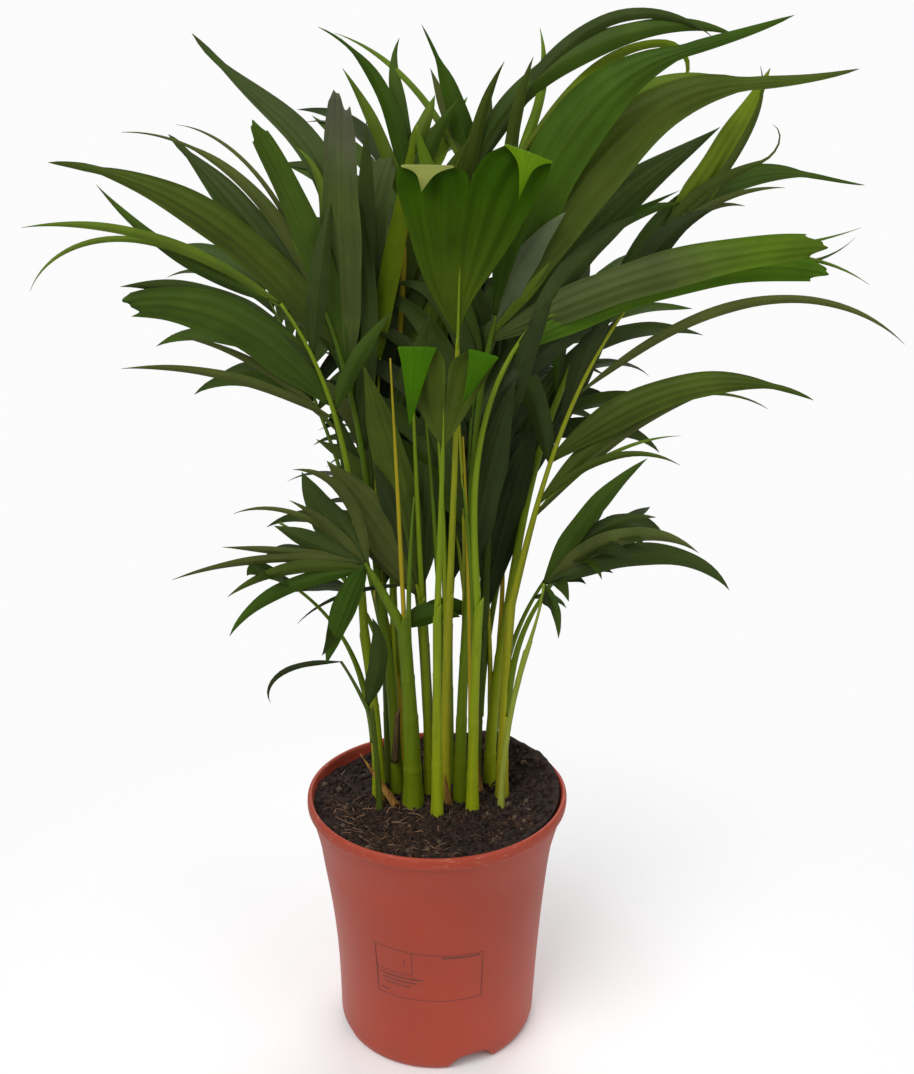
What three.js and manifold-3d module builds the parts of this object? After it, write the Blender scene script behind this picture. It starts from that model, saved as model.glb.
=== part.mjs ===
// Potted areca palm in a round nursery pot. Millimetres, +Z up.
// The origin is the middle of the pot's flat underside. -Y is the plant's front.
// Every frond is flat like a pressed one: a stalk and leaflets drawn in its own plane, which
// turns to the compass bearing `faces` and leans out by `tilt`. Angles are in degrees.
import * as THREE from 'three';
import { mergeVertices } from 'three/addons/utils/BufferGeometryUtils.js';
import Module from 'manifold-3d';

const wasm = await Module();
wasm.setup();

// Pot
const RIM_RADIUS = 85;
const POT_HEIGHT = 167;
const BASE_RADIUS = 66;
const WALL = 1.8;
const SHOULDER_RADIUS = 76.4;
const SHOULDER_HEIGHT = 131;
const LIP_DEPTH = 7;
const FLOOR_TOP = 5.5;
const FOOT_RECESS = 2.5;
const PAD_RADIUS = 20;
const RING_INSIDE = 55;
const POT_SEGMENTS = 36;
const NOTCH_WIDTH = 34;
const NOTCH_HEIGHT = 7;
const NOTCH_BEARING = -68;
const NOTCH_COUNT = 4;

// The pot's inner wall, from the floor up: radius and height
const INNER_WALL = [
  [BASE_RADIUS + 0.5 - WALL, 9],
  [SHOULDER_RADIUS - WALL, SHOULDER_HEIGHT],
  [SHOULDER_RADIUS + 3 - WALL, SHOULDER_HEIGHT + 18],
  [RIM_RADIUS - 4.2, POT_HEIGHT - LIP_DEPTH],
];

// The pot's outside, from the middle of its foot up to the inner edge of the lip: the pad and
// the ring that it stands on, the rounded foot, the long taper, the flare and the rolled lip
const OUTER_WALL = [
  [0, 0],
  [PAD_RADIUS, 0],
  [PAD_RADIUS + 1, FOOT_RECESS],
  [RING_INSIDE, FOOT_RECESS],
  [RING_INSIDE + 1, 0],
  [BASE_RADIUS - 3, 0],
  [BASE_RADIUS - 0.8, 2.2],
  [BASE_RADIUS + 0.5, 8],
  [SHOULDER_RADIUS, SHOULDER_HEIGHT],
  [SHOULDER_RADIUS + 1.7, SHOULDER_HEIGHT + 11],
  [SHOULDER_RADIUS + 4.2, SHOULDER_HEIGHT + 20],
  [RIM_RADIUS - 2, POT_HEIGHT - LIP_DEPTH - 1.5],
  [RIM_RADIUS - 0.3, POT_HEIGHT - LIP_DEPTH],
  [RIM_RADIUS, POT_HEIGHT - 3.5],
  [RIM_RADIUS - 1.4, POT_HEIGHT],
  [RIM_RADIUS - 3.2, POT_HEIGHT - 1.2],
];

// Soil: flat in the middle, then a slope to an edge that ripples and is heaped on one side
const SOIL_TOP = 156;
const SOIL_DROP = 2;
const SOIL_HEAP = 7;
const SOIL_HEAP_BEARING = 0.5;
const SOIL_RIPPLE = 0.8;
const SOIL_RIPPLES = 3;
const SOIL_FLAT_RADIUS = 57;
const SOIL_SLOPE_OUT = 0.42;
const SOIL_SLOPE_UP = 0.7;
const SOIL_SEGMENTS = 28;

// Clearance between separate solids, and the distance at which two corners are one
const GAP = 0.3;
const SAME_CORNER = 1e-4;

// Stalks and blades
const CANE_SIDES = 7;
const CANE_STEPS = 5;
const STALK_SIDES = 5;
const STALK_STEPS = 8;
const STALK_TIP_RADIUS = 0.9;
const LEAN_POWER = 2.2;
const BLADE_THICKNESS_SHARE = 0.0125;
const BLADE_LEAST_THICKNESS = 1.1;
const LONG_BLADE = 100;
const LONG_STATIONS = [0, 3, 7, 12];
const SHORT_STATIONS = [0, 4, 10];
const RUFFLE = 9;
const NOD_AT_TIP = 1.6;
const BEND_SPREAD = 90;
const LAST_PLACE = 0.999;
const FOOT_SWELL = 0.18;
const FOOT_SWELL_REACH = 0.12;
const SIDE_STALK_RADIUS = 2.1;
const STALK_SLIM_SHARE = 0.58;
const WALK_STEPS = 20;
const BLADE_STEPS = 16;

// Outlines of a blade: where it is widest, its width at the foot, how slowly it then narrows
const LEAFLET_OUTLINE = { widest: 0.42, foot: 0.16, taper: 1.7 };
const LOBE_OUTLINE = { widest: 0.72, foot: 0.16, taper: 2.6 };

// Overlap that counts, in cubic millimetres, and the turns tried to stay clear of it:
// a stalk's lean and tilt at its tip, and a blade's heading, nod and share of its length
const LEAST_OVERLAP = 0.0005;
const STALK_TURNS = [
  [0, 0], [2, 0], [-2, 0], [0, 2], [0, -2], [3, 3], [-3, 3], [4, -3], [-4, -3], [6, 0], [-6, 0],
];
const BLADE_TURNS = [
  [0, 0, 1], [3, 0, 1], [-3, 0, 1], [0, 6, 1], [0, -6, 1], [6, 6, 1], [-6, 6, 1], [6, -8, 1],
  [-6, -8, 1], [0, 12, 1], [0, -12, 1], [9, 12, 0.95], [-9, -12, 0.95], [0, 18, 0.9],
  [0, -18, 0.9], [12, 0, 0.8], [-12, 0, 0.8], [0, 10, 0.65], [0, -10, 0.65], [0, 0, 0.5],
];

const FINISHES = {
  pot: { color: 0xa0483a, roughness: 0.45 },
  soil: { color: 0x332524, roughness: 0.95 },
  cane: { color: 0x6c7a16, roughness: 0.5 },
  leaf: { color: 0x34481a, roughness: 0.5 },
};

// Canes: foot and fork in mm, radius at the foot and at the fork
const CANES = {
  a: { foot: [-38, 10], fork: [-45, 10, 274], radius: [4.4, 2.9] },
  b: { foot: [-26, 14], fork: [-35, 14, 297], radius: [4.2, 2.7] },
  c: { foot: [-15, 1], fork: [-19, -8, 285], radius: [6.6, 3.8] },
  d: { foot: [-5, 14], fork: [-8, 6, 292], radius: [3.2, 2.2] },
  e: { foot: [1, -13], fork: [2, -26, 300], radius: [3.8, 2.2] },
  f: { foot: [6, 4], fork: [9, -7, 300], radius: [3.8, 2.3] },
  g: { foot: [16, 4], fork: [21, 1, 300], radius: [4.4, 2.7] },
  h: { foot: [24, -7], fork: [27, -17, 300], radius: [4.0, 2.5] },
  i: { foot: [27, 22], fork: [32, 36, 266], radius: [3.6, 2.6] },
  j: { foot: [36, 27], fork: [45, 34, 267], radius: [4.4, 3.0] },
  k: { foot: [44, 11], fork: [48, 12, 292], radius: [4.2, 2.7] },
  l: { foot: [49, -4], fork: [63, -6, 268], radius: [2.6, 1.9] },
  m: { foot: [8, 30], fork: [8, 45, 285], radius: [4.4, 2.8] },
  n: { foot: [-22, 32], fork: [-38, 44, 288], radius: [4.0, 2.7] },
  o: { foot: [-32, 26], fork: [-34, 29, 285], radius: [3.4, 2.4] },
  p: { foot: [-5, 44], fork: [-9, 62, 262], radius: [4.2, 2.8] },
  q: { foot: [-44, -3], fork: [-46, -9, 225], radius: [2.4, 1.7] },
};

// Each leaflet is a row: place along the leafy stretch (0 to 1), heading from upright,
// length, width, and how far its tip turns down. A minus heading lies to the left.
const FRONDS = [
  {
    name: 'frond_west_low', cane: 'a', faces: 285, tilt: [0, 6], lean: [-2, -34], stalk: 130, leafy: 90,
    leaflets: [
      [0.12, -60, 140, 9, 38], [0.25, -51, 112, 10, 32], [0.38, -43, 140, 23, 50],
      [0.75, -50, 172, 6, 90], [0.7, -50, 182, 12, 50], [0.95, -68, 125, 11, -28],
      [0.2, 20, 70, 10, 20], [0.6, 5, 90, 12, 10],
    ],
  },
  {
    name: 'frond_west_high', cane: 'b', faces: 255, tilt: [0, 6], lean: [-4, -28], stalk: 125, leafy: 105,
    leaflets: [
      [0.3, -40, 208, 19, 46], [0.55, -36, 134, 16, 10], [0.65, -28, 142, 9, 60], [0.8, -38, 100, 4, 35],
      [0.4, -14, 130, 13, 12], [0.5, -6, 188, 17, 42], [0.25, 6, 150, 21, -16],
    ],
  },
  {
    name: 'frond_north_west', cane: 'o', faces: 268, tilt: [0, 0], lean: [-3, -2], stalk: 140, leafy: 60,
    leaflets: [
      [0.6, 1, 125, 7, 2], [0.5, 3, 112, 14, 12], [0.3, 8, 140, 12, 10], [-0.6, -2, 165, 15, 2],
    ],
  },
  {
    name: 'frond_gold', cane: 'n', faces: 270, tilt: [0, 0], lean: [6, 2], stalk: 235, leafy: 40,
    leaflets: [
      [0.4, -18, 132, 9, 70], [0.8, -2, 75, 9, -8], [0.2, -14, 90, 8, 20], [1.0, 28, 60, 9, -8],
      [0.3, 18, 70, 10, 20],
    ],
  },
  {
    name: 'frond_crown', cane: 'm', faces: 268, tilt: [0, 0], lean: [3, 4], stalk: 220, leafy: 50,
    leaflets: [
      [1.0, -4, 88, 12, 30], [0.9, -14, 90, 6, 45], [0.7, 15, 88, 9, 5], [0.3, -22, 90, 12, 10],
      [0.3, 24, 90, 12, 10],
    ],
  },
  {
    name: 'frond_heart', cane: 'f', faces: 270, tilt: [6, 6], lean: [5, 2], stalk: 165, leafy: 8,
    lobes: true,
    leaflets: [[0.4, -18, 98, 38, -14], [0.6, 20, 95, 38, -12]],
  },
  {
    name: 'frond_fold', cane: 'e', faces: 270, tilt: [4, 6], lean: [3, 3], stalk: 105, leafy: 8,
    lobes: true,
    leaflets: [[0.3, -28, 60, 26, 0], [0.6, 26, 60, 26, 0]],
  },
  {
    name: 'frond_east_big', cane: 'g', faces: 256, tilt: [0, 0], lean: [1, 14], stalk: 165, leafy: 14,
    leaflets: [
      [1.0, 25, 230, 26, 52], [0.6, 37, 242, 27, 42], [-0.6, 62, 214, 20, 26], [0.2, 30, 140, 20, 20],
      [0.0, 38, 150, 16, 20],
    ],
  },
  {
    name: 'frond_arc', cane: 'h', faces: 280, tilt: [0, 0], lean: [-4, 40], stalk: 150, leafy: 30,
    leaflets: [[0.0, 50, 212, 15, 62], [1.0, 34, 100, 14, 30]],
  },
  {
    name: 'frond_north_east', cane: 'i', faces: 275, tilt: [0, 0], lean: [2, 4], stalk: 236, leafy: 60,
    leaflets: [
      [0.8, 8, 78, 8, 0], [1.0, 12, 85, 6, -6], [1.0, 26, 158, 9, 85], [0.8, 30, 163, 13, 70],
      [0.5, 42, 135, 17, 30], [0.2, 46, 90, 12, 30], [0.1, 20, 110, 12, 10],
    ],
  },
  {
    name: 'frond_east_high', cane: 'j', faces: 285, tilt: [0, 0], lean: [8, 52], stalk: 195, leafy: 75,
    leaflets: [
      [0.0, 22, 150, 12, 26], [1.0, 15, 105, 14, 14], [0.5, 42, 128, 9, 18], [0.6, 42, 150, 13, 50],
      [0.8, 52, 100, 8, 30], [0.9, 60, 95, 7, 30], [0.2, 30, 110, 13, 40],
    ],
  },
  {
    name: 'frond_east_mid', cane: 'k', faces: 262, tilt: [0, 0], lean: [12, 36], stalk: 85, leafy: 125,
    leaflets: [
      [0.1, 52, 170, 14, 65], [0.0, 52, 112, 8, 22], [0.48, 54, 205, 9, 80], [0.42, 8, 62, 13, 0],
      [0.02, 58, 88, 5, 30], [-0.05, 62, 90, 5, 50], [0.9, 18, 110, 14, 55],
    ],
  },
  {
    name: 'frond_low_east', cane: 'l', faces: 258, tilt: [0, 0], lean: [16, 4], stalk: 24, leafy: 25,
    leaflets: [[1.0, 41, 105, 9, 4], [0.9, 46, 80, 8, 35], [0.7, 52, 118, 10, 55], [0.3, 54, 140, 13, 75]],
  },
  {
    name: 'frond_low_west', cane: 'c', faces: 282, tilt: [0, 0], lean: [-26, -28], stalk: 40, leafy: 10,
    leaflets: [
      [1.0, -80, 142, 9, 38], [1.0, -78, 100, 8, 20], [0.9, -84, 95, 12, 45], [0.8, -92, 98, 13, 50],
      [0.6, -120, 70, 16, 65], [1.0, -32, 72, 18, -16], [0.8, -8, 92, 8, 90], [0.9, -48, 98, 10, 60],
    ],
  },
  {
    name: 'frond_diagonal', cane: 'd', faces: 275, tilt: [0, 0], lean: [-10, -10], stalk: 8, leafy: 10,
    leaflets: [[0.0, -38, 108, 19, -8], [-0.4, -88, 90, 4, 55], [-0.6, 84, 36, 12, 20]],
  },
  {
    name: 'frond_low_thin', cane: 'q', faces: 280, tilt: [0, 0], lean: [-10, -20], stalk: 26, leafy: 10,
    leaflets: [[-1.5, -14, 52, 8, 0], [1.0, -66, 88, 6, 100]],
  },
];

// Fronds that fill the crown's back, sides and middle, with evenly graded leaflets: they leave
// their cane at the share `at` of its height, on the side that they face.
const FANS = [
  {
    name: 'frond_back_tall', cane: 'p', at: 1, faces: 95, tilt: [16, 30], lean: [0, 4],
    stalk: 190, leafy: 110, pairs: 5, longest: 130, width: 15,
  },
  {
    name: 'frond_back_mid', cane: 'm', at: 0.86, faces: 80, tilt: [17, 50], lean: [0, 2],
    stalk: 115, leafy: 105, pairs: 5, longest: 130, width: 15,
  },
  {
    name: 'frond_back_west', cane: 'n', at: 0.86, faces: 130, tilt: [18, 42], lean: [0, 4],
    stalk: 135, leafy: 105, pairs: 5, longest: 122, width: 15,
  },
  {
    name: 'frond_back_east', cane: 'i', at: 0.86, faces: 60, tilt: [17, 42], lean: [0, -4],
    stalk: 145, leafy: 105, pairs: 5, longest: 122, width: 15,
  },
  {
    name: 'frond_back_low', cane: 'p', at: 0.78, faces: 105, tilt: [22, 66], lean: [0, 3],
    stalk: 80, leafy: 85, pairs: 4, longest: 115, width: 14,
  },
  {
    name: 'frond_back_low_west', cane: 'n', at: 0.62, faces: 160, tilt: [12, 64], lean: [0, 3],
    stalk: 55, leafy: 70, pairs: 4, longest: 95, width: 13,
  },
  {
    name: 'frond_back_low_east', cane: 'j', at: 0.72, faces: 30, tilt: [12, 64], lean: [0, -3],
    stalk: 55, leafy: 70, pairs: 4, longest: 95, width: 13,
  },
  {
    name: 'frond_side_west', cane: 'a', at: 0.72, faces: 200, tilt: [12, 50], lean: [0, 3],
    stalk: 40, leafy: 50, pairs: 3, longest: 85, width: 12,
  },
  {
    name: 'frond_side_east', cane: 'k', at: 0.76, faces: 345, tilt: [12, 50], lean: [0, -3],
    stalk: 45, leafy: 50, pairs: 3, longest: 88, width: 12,
  },
  {
    name: 'frond_inner_west', cane: 'b', at: 0.9, faces: 85, tilt: [3, 10], lean: [0, 6],
    stalk: 50, leafy: 90, pairs: 4, longest: 115, width: 16, foot: 26, tip: 6,
  },
  {
    name: 'frond_inner_east', cane: 'g', at: 0.9, faces: 95, tilt: [3, 10], lean: [0, -9],
    stalk: 55, leafy: 95, pairs: 4, longest: 118, width: 16, foot: 26, tip: 6,
  },
  {
    name: 'frond_inner_back', cane: 'm', at: 0.66, faces: 110, tilt: [15, 14], lean: [0, 0],
    stalk: 80, leafy: 100, pairs: 4, longest: 120, width: 16, foot: 28, tip: 6,
  },
];
const FAN_FOOT = 58;
const FAN_TIP = 16;
const FAN_BEND = 40;
const FAN_NOD = 16;
const FAN_STAGGER = 0.06;
const FAN_TURN_SPREAD = 10;
const FAN_LENGTH_SPREAD = 0.2;
const FAN_SWELL = 0.22;
const FAN_SWELL_START = 0.15;
const FAN_SWELL_SPAN = 0.75;

const rad = THREE.MathUtils.degToRad;
const mix = THREE.MathUtils.lerp;

// A steady pseudo-random share between 0 and 1 for a whole number
function share(number) {
  const turned = Math.sin(number * 12.9898 + 4.1414) * 43758.5453;
  return turned - Math.floor(turned);
}

// The frond's own directions: to its right, up along it, and out of its face
function frondPlane(faces, tilt) {
  const level = new THREE.Vector3(Math.cos(rad(faces)), Math.sin(rad(faces)), 0);
  const right = new THREE.Vector3(-level.y, level.x, 0);
  const up = new THREE.Vector3(0, 0, Math.cos(rad(tilt))).addScaledVector(level, Math.sin(rad(tilt)));
  const out = level.clone().multiplyScalar(Math.cos(rad(tilt)));
  out.z = -Math.sin(rad(tilt));
  return { right, up, out };
}

// Points along a stem or a blade that heads off from upright and nods out of its plane
function walk(start, length, steps, faces, headingAt, nodAt, tiltAt) {
  const points = [start.clone()];
  for (let step = 0; step < steps; step += 1) {
    const along = (step + 0.5) / steps;
    const { right, up, out } = frondPlane(faces, tiltAt(along));
    const heading = rad(headingAt(along));
    const nod = rad(nodAt(along));
    const way = up.multiplyScalar(Math.cos(heading)).addScaledVector(right, Math.sin(heading));
    way.multiplyScalar(Math.cos(nod)).addScaledVector(out, Math.sin(nod));
    points.push(points[step].clone().addScaledVector(way, length / steps));
  }
  return points;
}

function solidOf(geometry) {
  const bare = geometry.clone();
  bare.deleteAttribute('normal');
  bare.deleteAttribute('uv');
  const merged = mergeVertices(bare, SAME_CORNER);
  const mesh = new wasm.Mesh({
    numProp: 3,
    vertProperties: new Float32Array(merged.attributes.position.array),
    triVerts: new Uint32Array(merged.index.array),
  });
  return new wasm.Manifold(mesh);
}

function geometryOf(solid) {
  const { vertProperties, triVerts, numProp } = solid.getMesh();
  const places = new Float32Array((vertProperties.length / numProp) * 3);
  for (let vertex = 0; vertex < vertProperties.length / numProp; vertex += 1) {
    for (let axis = 0; axis < 3; axis += 1) {
      places[vertex * 3 + axis] = vertProperties[vertex * numProp + axis];
    }
  }
  const geometry = new THREE.BufferGeometry();
  geometry.setAttribute('position', new THREE.BufferAttribute(places, 3));
  geometry.setIndex(new THREE.BufferAttribute(new Uint32Array(triVerts), 1));
  return geometry;
}

// A tube that tapers along its path, with flat ends
function taperedTube(path, radiusAt, sides, steps) {
  const corners = Array.from({ length: sides }, (_, side) => {
    const turn = (side / sides) * 2 * Math.PI;
    return new THREE.Vector2(Math.cos(turn), Math.sin(turn));
  });
  const section = new THREE.Shape(corners);
  const tube = new THREE.ExtrudeGeometry(section, { steps, bevelEnabled: false, extrudePath: path });
  const centres = path.getSpacedPoints(steps);
  const places = tube.attributes.position;
  const corner = new THREE.Vector3();
  for (let vertex = 0; vertex < places.count; vertex += 1) {
    corner.fromBufferAttribute(places, vertex);
    const distances = centres.map((centre) => centre.distanceToSquared(corner));
    const ring = distances.indexOf(Math.min(...distances));
    const radius = radiusAt(ring / steps);
    corner.sub(centres[ring]).multiplyScalar(radius).add(centres[ring]);
    places.setXYZ(vertex, corner.x, corner.y, corner.z);
  }
  return solidOf(tube);
}

// Half-width of a blade at a share of its length, as a share of its greatest
function bladeProfile(along, lobe) {
  const { widest, foot, taper } = lobe ? LOBE_OUTLINE : LEAFLET_OUTLINE;
  if (along < widest) return mix(foot, 1, Math.sin((along / widest) * (Math.PI / 2)));
  return 1 - ((along - widest) / (1 - widest)) ** taper;
}

// One leaflet: a ridged blade that runs out to a point
function bladeSolid(points, length, width, out, lobe) {
  const last = points.length - 1;
  const stations = length > LONG_BLADE ? LONG_STATIONS : SHORT_STATIONS;
  const thickness = Math.max(length * BLADE_THICKNESS_SHARE, BLADE_LEAST_THICKNESS);
  const places = [];
  for (const station of stations) {
    const ahead = points[Math.min(station + 1, last)];
    const behind = points[Math.max(station - 1, 0)];
    const way = ahead.clone().sub(behind).normalize();
    const across = way.clone().cross(out).normalize();
    const ridge = across.clone().cross(way).normalize();
    const half = (width / 2) * bladeProfile(station / last, lobe);
    const middle = points[station];
    const left = middle.clone().addScaledVector(across, half);
    const right = middle.clone().addScaledVector(across, -half);
    const top = middle.clone().addScaledVector(ridge, thickness);
    places.push(...left.toArray(), ...right.toArray(), ...top.toArray());
  }
  places.push(...points[last].toArray());
  const faces = [0, 1, 2];
  for (let ring = 0; ring < stations.length - 1; ring += 1) {
    for (let edge = 0; edge < 3; edge += 1) {
      const here = ring * 3 + edge;
      const next = ring * 3 + ((edge + 1) % 3);
      faces.push(here, here + 3, next, next, here + 3, next + 3);
    }
  }
  const lastRing = (stations.length - 1) * 3;
  const tip = stations.length * 3;
  for (let edge = 0; edge < 3; edge += 1) {
    faces.push(lastRing + edge, tip, lastRing + ((edge + 1) % 3));
  }
  const geometry = new THREE.BufferGeometry();
  geometry.setAttribute('position', new THREE.BufferAttribute(new Float32Array(places), 3));
  geometry.setIndex(faces);
  const solid = solidOf(geometry);
  if (solid.volume() > 0) return solid;
  geometry.setIndex(faces.reverse());
  return solidOf(geometry);
}

function mostlyApart(first, second) {
  const one = first.boundingBox();
  const other = second.boundingBox();
  return [0, 1, 2].some((axis) => one.min[axis] > other.max[axis] || other.min[axis] > one.max[axis]);
}

function touches(solid, others) {
  return others.some((other) => {
    if (mostlyApart(solid, other)) return false;
    const common = solid.intersect(other);
    const volume = common.volume();
    common.delete();
    return volume > LEAST_OVERLAP;
  });
}

function latheSolid(profile, segments) {
  const points = profile.map(([radius, height]) => new THREE.Vector2(radius, height));
  const lathe = new THREE.LatheGeometry(points, segments);
  lathe.rotateX(Math.PI / 2);
  const solid = solidOf(lathe);
  if (solid.volume() > 0) return solid;
  lathe.index.array.reverse();
  return solidOf(lathe);
}

function potSolid() {
  const floor = [[INNER_WALL[0][0] - 3, FLOOR_TOP], [0, FLOOR_TOP]];
  const outline = [...OUTER_WALL, ...INNER_WALL.toReversed(), ...floor];
  let pot = latheSolid(outline, POT_SEGMENTS);
  const half = NOTCH_WIDTH / 2;
  const radius = (half * half + NOTCH_HEIGHT * NOTCH_HEIGHT) / (2 * NOTCH_HEIGHT);
  for (let notch = 0; notch < NOTCH_COUNT; notch += 1) {
    const bearing = rad(NOTCH_BEARING + (notch * 360) / NOTCH_COUNT);
    const drill = new THREE.CylinderGeometry(radius, radius, 2 * (BASE_RADIUS - RING_INSIDE), 32);
    drill.rotateZ(Math.PI / 2);
    drill.translate(BASE_RADIUS, 0, NOTCH_HEIGHT - radius);
    drill.rotateZ(bearing);
    pot = pot.subtract(solidOf(drill));
  }
  return pot;
}

// The soil's top edge, against the pot's wall: heaped to the lip on the right and at the back
function soilEdgeHeight(bearing) {
  const heap = Math.max(0, Math.cos(bearing - SOIL_HEAP_BEARING));
  return SOIL_TOP - SOIL_DROP + SOIL_HEAP * heap ** 2 + SOIL_RIPPLE * Math.sin(SOIL_RIPPLES * bearing);
}

function innerRadius(height) {
  for (let step = 1; step < INNER_WALL.length; step += 1) {
    const [lowRadius, low] = INNER_WALL[step - 1];
    const [highRadius, high] = INNER_WALL[step];
    if (height <= high) return mix(lowRadius, highRadius, (height - low) / (high - low));
  }
  return INNER_WALL[INNER_WALL.length - 1][0];
}

function soilSolid() {
  const places = [0, 0, SOIL_TOP];
  const facet = Math.cos(Math.PI / POT_SEGMENTS);
  const rings = [
    () => [SOIL_FLAT_RADIUS, SOIL_TOP],
    (bearing) => [
      mix(SOIL_FLAT_RADIUS, RIM_RADIUS, SOIL_SLOPE_OUT),
      mix(SOIL_TOP, soilEdgeHeight(bearing), SOIL_SLOPE_UP),
    ],
    (bearing) => {
      const height = soilEdgeHeight(bearing);
      return [(innerRadius(height) - GAP) * facet, height];
    },
    () => [(INNER_WALL[2][0] - GAP) * facet, INNER_WALL[2][1]],
    () => [(INNER_WALL[1][0] - GAP) * facet, INNER_WALL[1][1]],
    () => [(INNER_WALL[0][0] - GAP) * facet, INNER_WALL[0][1] + GAP],
    () => [INNER_WALL[0][0] - 4, FLOOR_TOP + GAP],
  ];
  for (const ring of rings) {
    for (let segment = 0; segment < SOIL_SEGMENTS; segment += 1) {
      const bearing = (segment / SOIL_SEGMENTS) * 2 * Math.PI;
      const [radius, height] = ring(bearing);
      places.push(radius * Math.cos(bearing), radius * Math.sin(bearing), height);
    }
  }
  places.push(0, 0, FLOOR_TOP + GAP);
  const faces = [];
  const bottom = rings.length * SOIL_SEGMENTS + 1;
  for (let segment = 0; segment < SOIL_SEGMENTS; segment += 1) {
    const next = (segment + 1) % SOIL_SEGMENTS;
    faces.push(0, 1 + segment, 1 + next);
    for (let ring = 0; ring < rings.length - 1; ring += 1) {
      const here = 1 + ring * SOIL_SEGMENTS;
      const outer = here + SOIL_SEGMENTS;
      faces.push(here + segment, outer + segment, here + next, here + next, outer + segment, outer + next);
    }
    const last = 1 + (rings.length - 1) * SOIL_SEGMENTS;
    faces.push(last + segment, bottom, last + next);
  }
  const geometry = new THREE.BufferGeometry();
  geometry.setAttribute('position', new THREE.BufferAttribute(new Float32Array(places), 3));
  geometry.setIndex(faces);
  return solidOf(geometry);
}

// A cane rises straight out of the soil and leans more and more towards its fork
function canePath({ foot, fork }) {
  const start = new THREE.Vector3(foot[0], foot[1], SOIL_TOP + GAP);
  const end = new THREE.Vector3(...fork);
  const bend = new THREE.Vector3(foot[0], foot[1], (start.z + end.z) / 2);
  return new THREE.QuadraticBezierCurve3(start, bend, end);
}

function caneRadius({ radius: [foot, fork] }, along) {
  return mix(foot, fork, along) * (1 + FOOT_SWELL * Math.max(0, 1 - along / FOOT_SWELL_REACH));
}

// Where a frond's stalk leaves its cane, and how thick it is there
function stalkStart(frond) {
  const cane = CANES[frond.cane];
  const path = canePath(cane);
  const at = frond.at ?? 1;
  const { right, up, out } = frondPlane(frond.faces, frond.tilt[0]);
  const lean = rad(frond.lean[0]);
  const way = up.multiplyScalar(Math.cos(lean)).addScaledVector(right, Math.sin(lean));
  if (at === 1) {
    const radius = cane.radius[1];
    const turn = way.angleTo(path.getTangent(1));
    const start = path.getPoint(1).addScaledVector(way, GAP + radius * Math.sin(turn));
    return { start, radius };
  }
  const level = out.clone().setZ(0).normalize();
  const aside = caneRadius(cane, at) + SIDE_STALK_RADIUS + GAP;
  return { start: path.getPoint(at).addScaledVector(level, aside), radius: SIDE_STALK_RADIUS };
}

function stalkPoints(frond, turn) {
  const { start } = stalkStart(frond);
  const length = frond.stalk + frond.leafy;
  const [leanFoot, leanTip] = frond.lean;
  const [tiltFoot, tiltTip] = frond.tilt;
  const heading = (along) => mix(leanFoot, leanTip + turn[0], along ** LEAN_POWER);
  const tilt = (along) => mix(tiltFoot, tiltTip + turn[1], along);
  return walk(start, length, WALK_STEPS, frond.faces, heading, () => 0, tilt);
}

function stalkSolid(frond, points) {
  const { radius } = stalkStart(frond);
  const slim = radius * STALK_SLIM_SHARE;
  const neck = frond.stalk / (frond.stalk + frond.leafy);
  const radiusAt = (along) => {
    if (along < neck) return mix(radius, slim, Math.min(1, along / neck));
    return mix(slim, STALK_TIP_RADIUS, (along - neck) / (1 - neck));
  };
  return taperedTube(new THREE.CatmullRomCurve3(points), radiusAt, STALK_SIDES, STALK_STEPS);
}

// The graded leaflets of a fan, in pairs from its foot to its tip
function fanLeaflets(fan, index) {
  const { pairs, longest, width, foot = FAN_FOOT, tip = FAN_TIP } = fan;
  const rows = [];
  for (let pair = 0; pair < pairs; pair += 1) {
    const along = pair / (pairs - 1);
    const swell = Math.sin(Math.PI * (FAN_SWELL_START + FAN_SWELL_SPAN * along));
    const length = longest * (1 - FAN_SWELL * (1 - swell));
    for (const side of [-1, 1]) {
      const chance = share(index * 100 + pair * 10 + side) - 0.5;
      const heading = side * (mix(foot, tip, along) + FAN_TURN_SPREAD * chance);
      const place = Math.min(1, along + (side > 0 ? FAN_STAGGER : 0));
      rows.push([place, heading, length * (1 + FAN_LENGTH_SPREAD * chance), width, FAN_BEND]);
    }
  }
  return rows;
}

// The points along one leaflet's midrib
function leafletPoints(frond, stalk, row, order, turn) {
  const [place, heading, length, , bend] = row;
  const whole = frond.stalk + frond.leafy;
  const along = Math.min(LAST_PLACE, (frond.stalk + place * frond.leafy) / whole);
  const step = Math.floor(along * WALK_STEPS);
  const start = stalk[step].clone().lerp(stalk[step + 1], along * WALK_STEPS - step);
  const drop = (heading >= 0 ? 1 : -1) * bend;
  const headingAt = (part) => heading + turn[0] + drop * part ** (1 + Math.abs(bend) / BEND_SPREAD);
  const nod = (frond.nod ?? 0) + RUFFLE * (order % 2 === 0 ? 1 : -1) + turn[1];
  const nodAt = (part) => NOD_AT_TIP * nod * part;
  const tilt = mix(...frond.tilt, along);
  return walk(start, length * turn[2], BLADE_STEPS, frond.faces, headingAt, nodAt, () => tilt);
}

const potBody = potSolid();
const soilBody = soilSolid();
const caneBodies = Object.values(CANES).map((cane) => (
  taperedTube(canePath(cane), (along) => caneRadius(cane, along), CANE_SIDES, CANE_STEPS)
));
const fronds = [
  ...FRONDS,
  ...FANS.map((fan, index) => ({ ...fan, nod: FAN_NOD, leaflets: fanLeaflets(fan, index) })),
];

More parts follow.
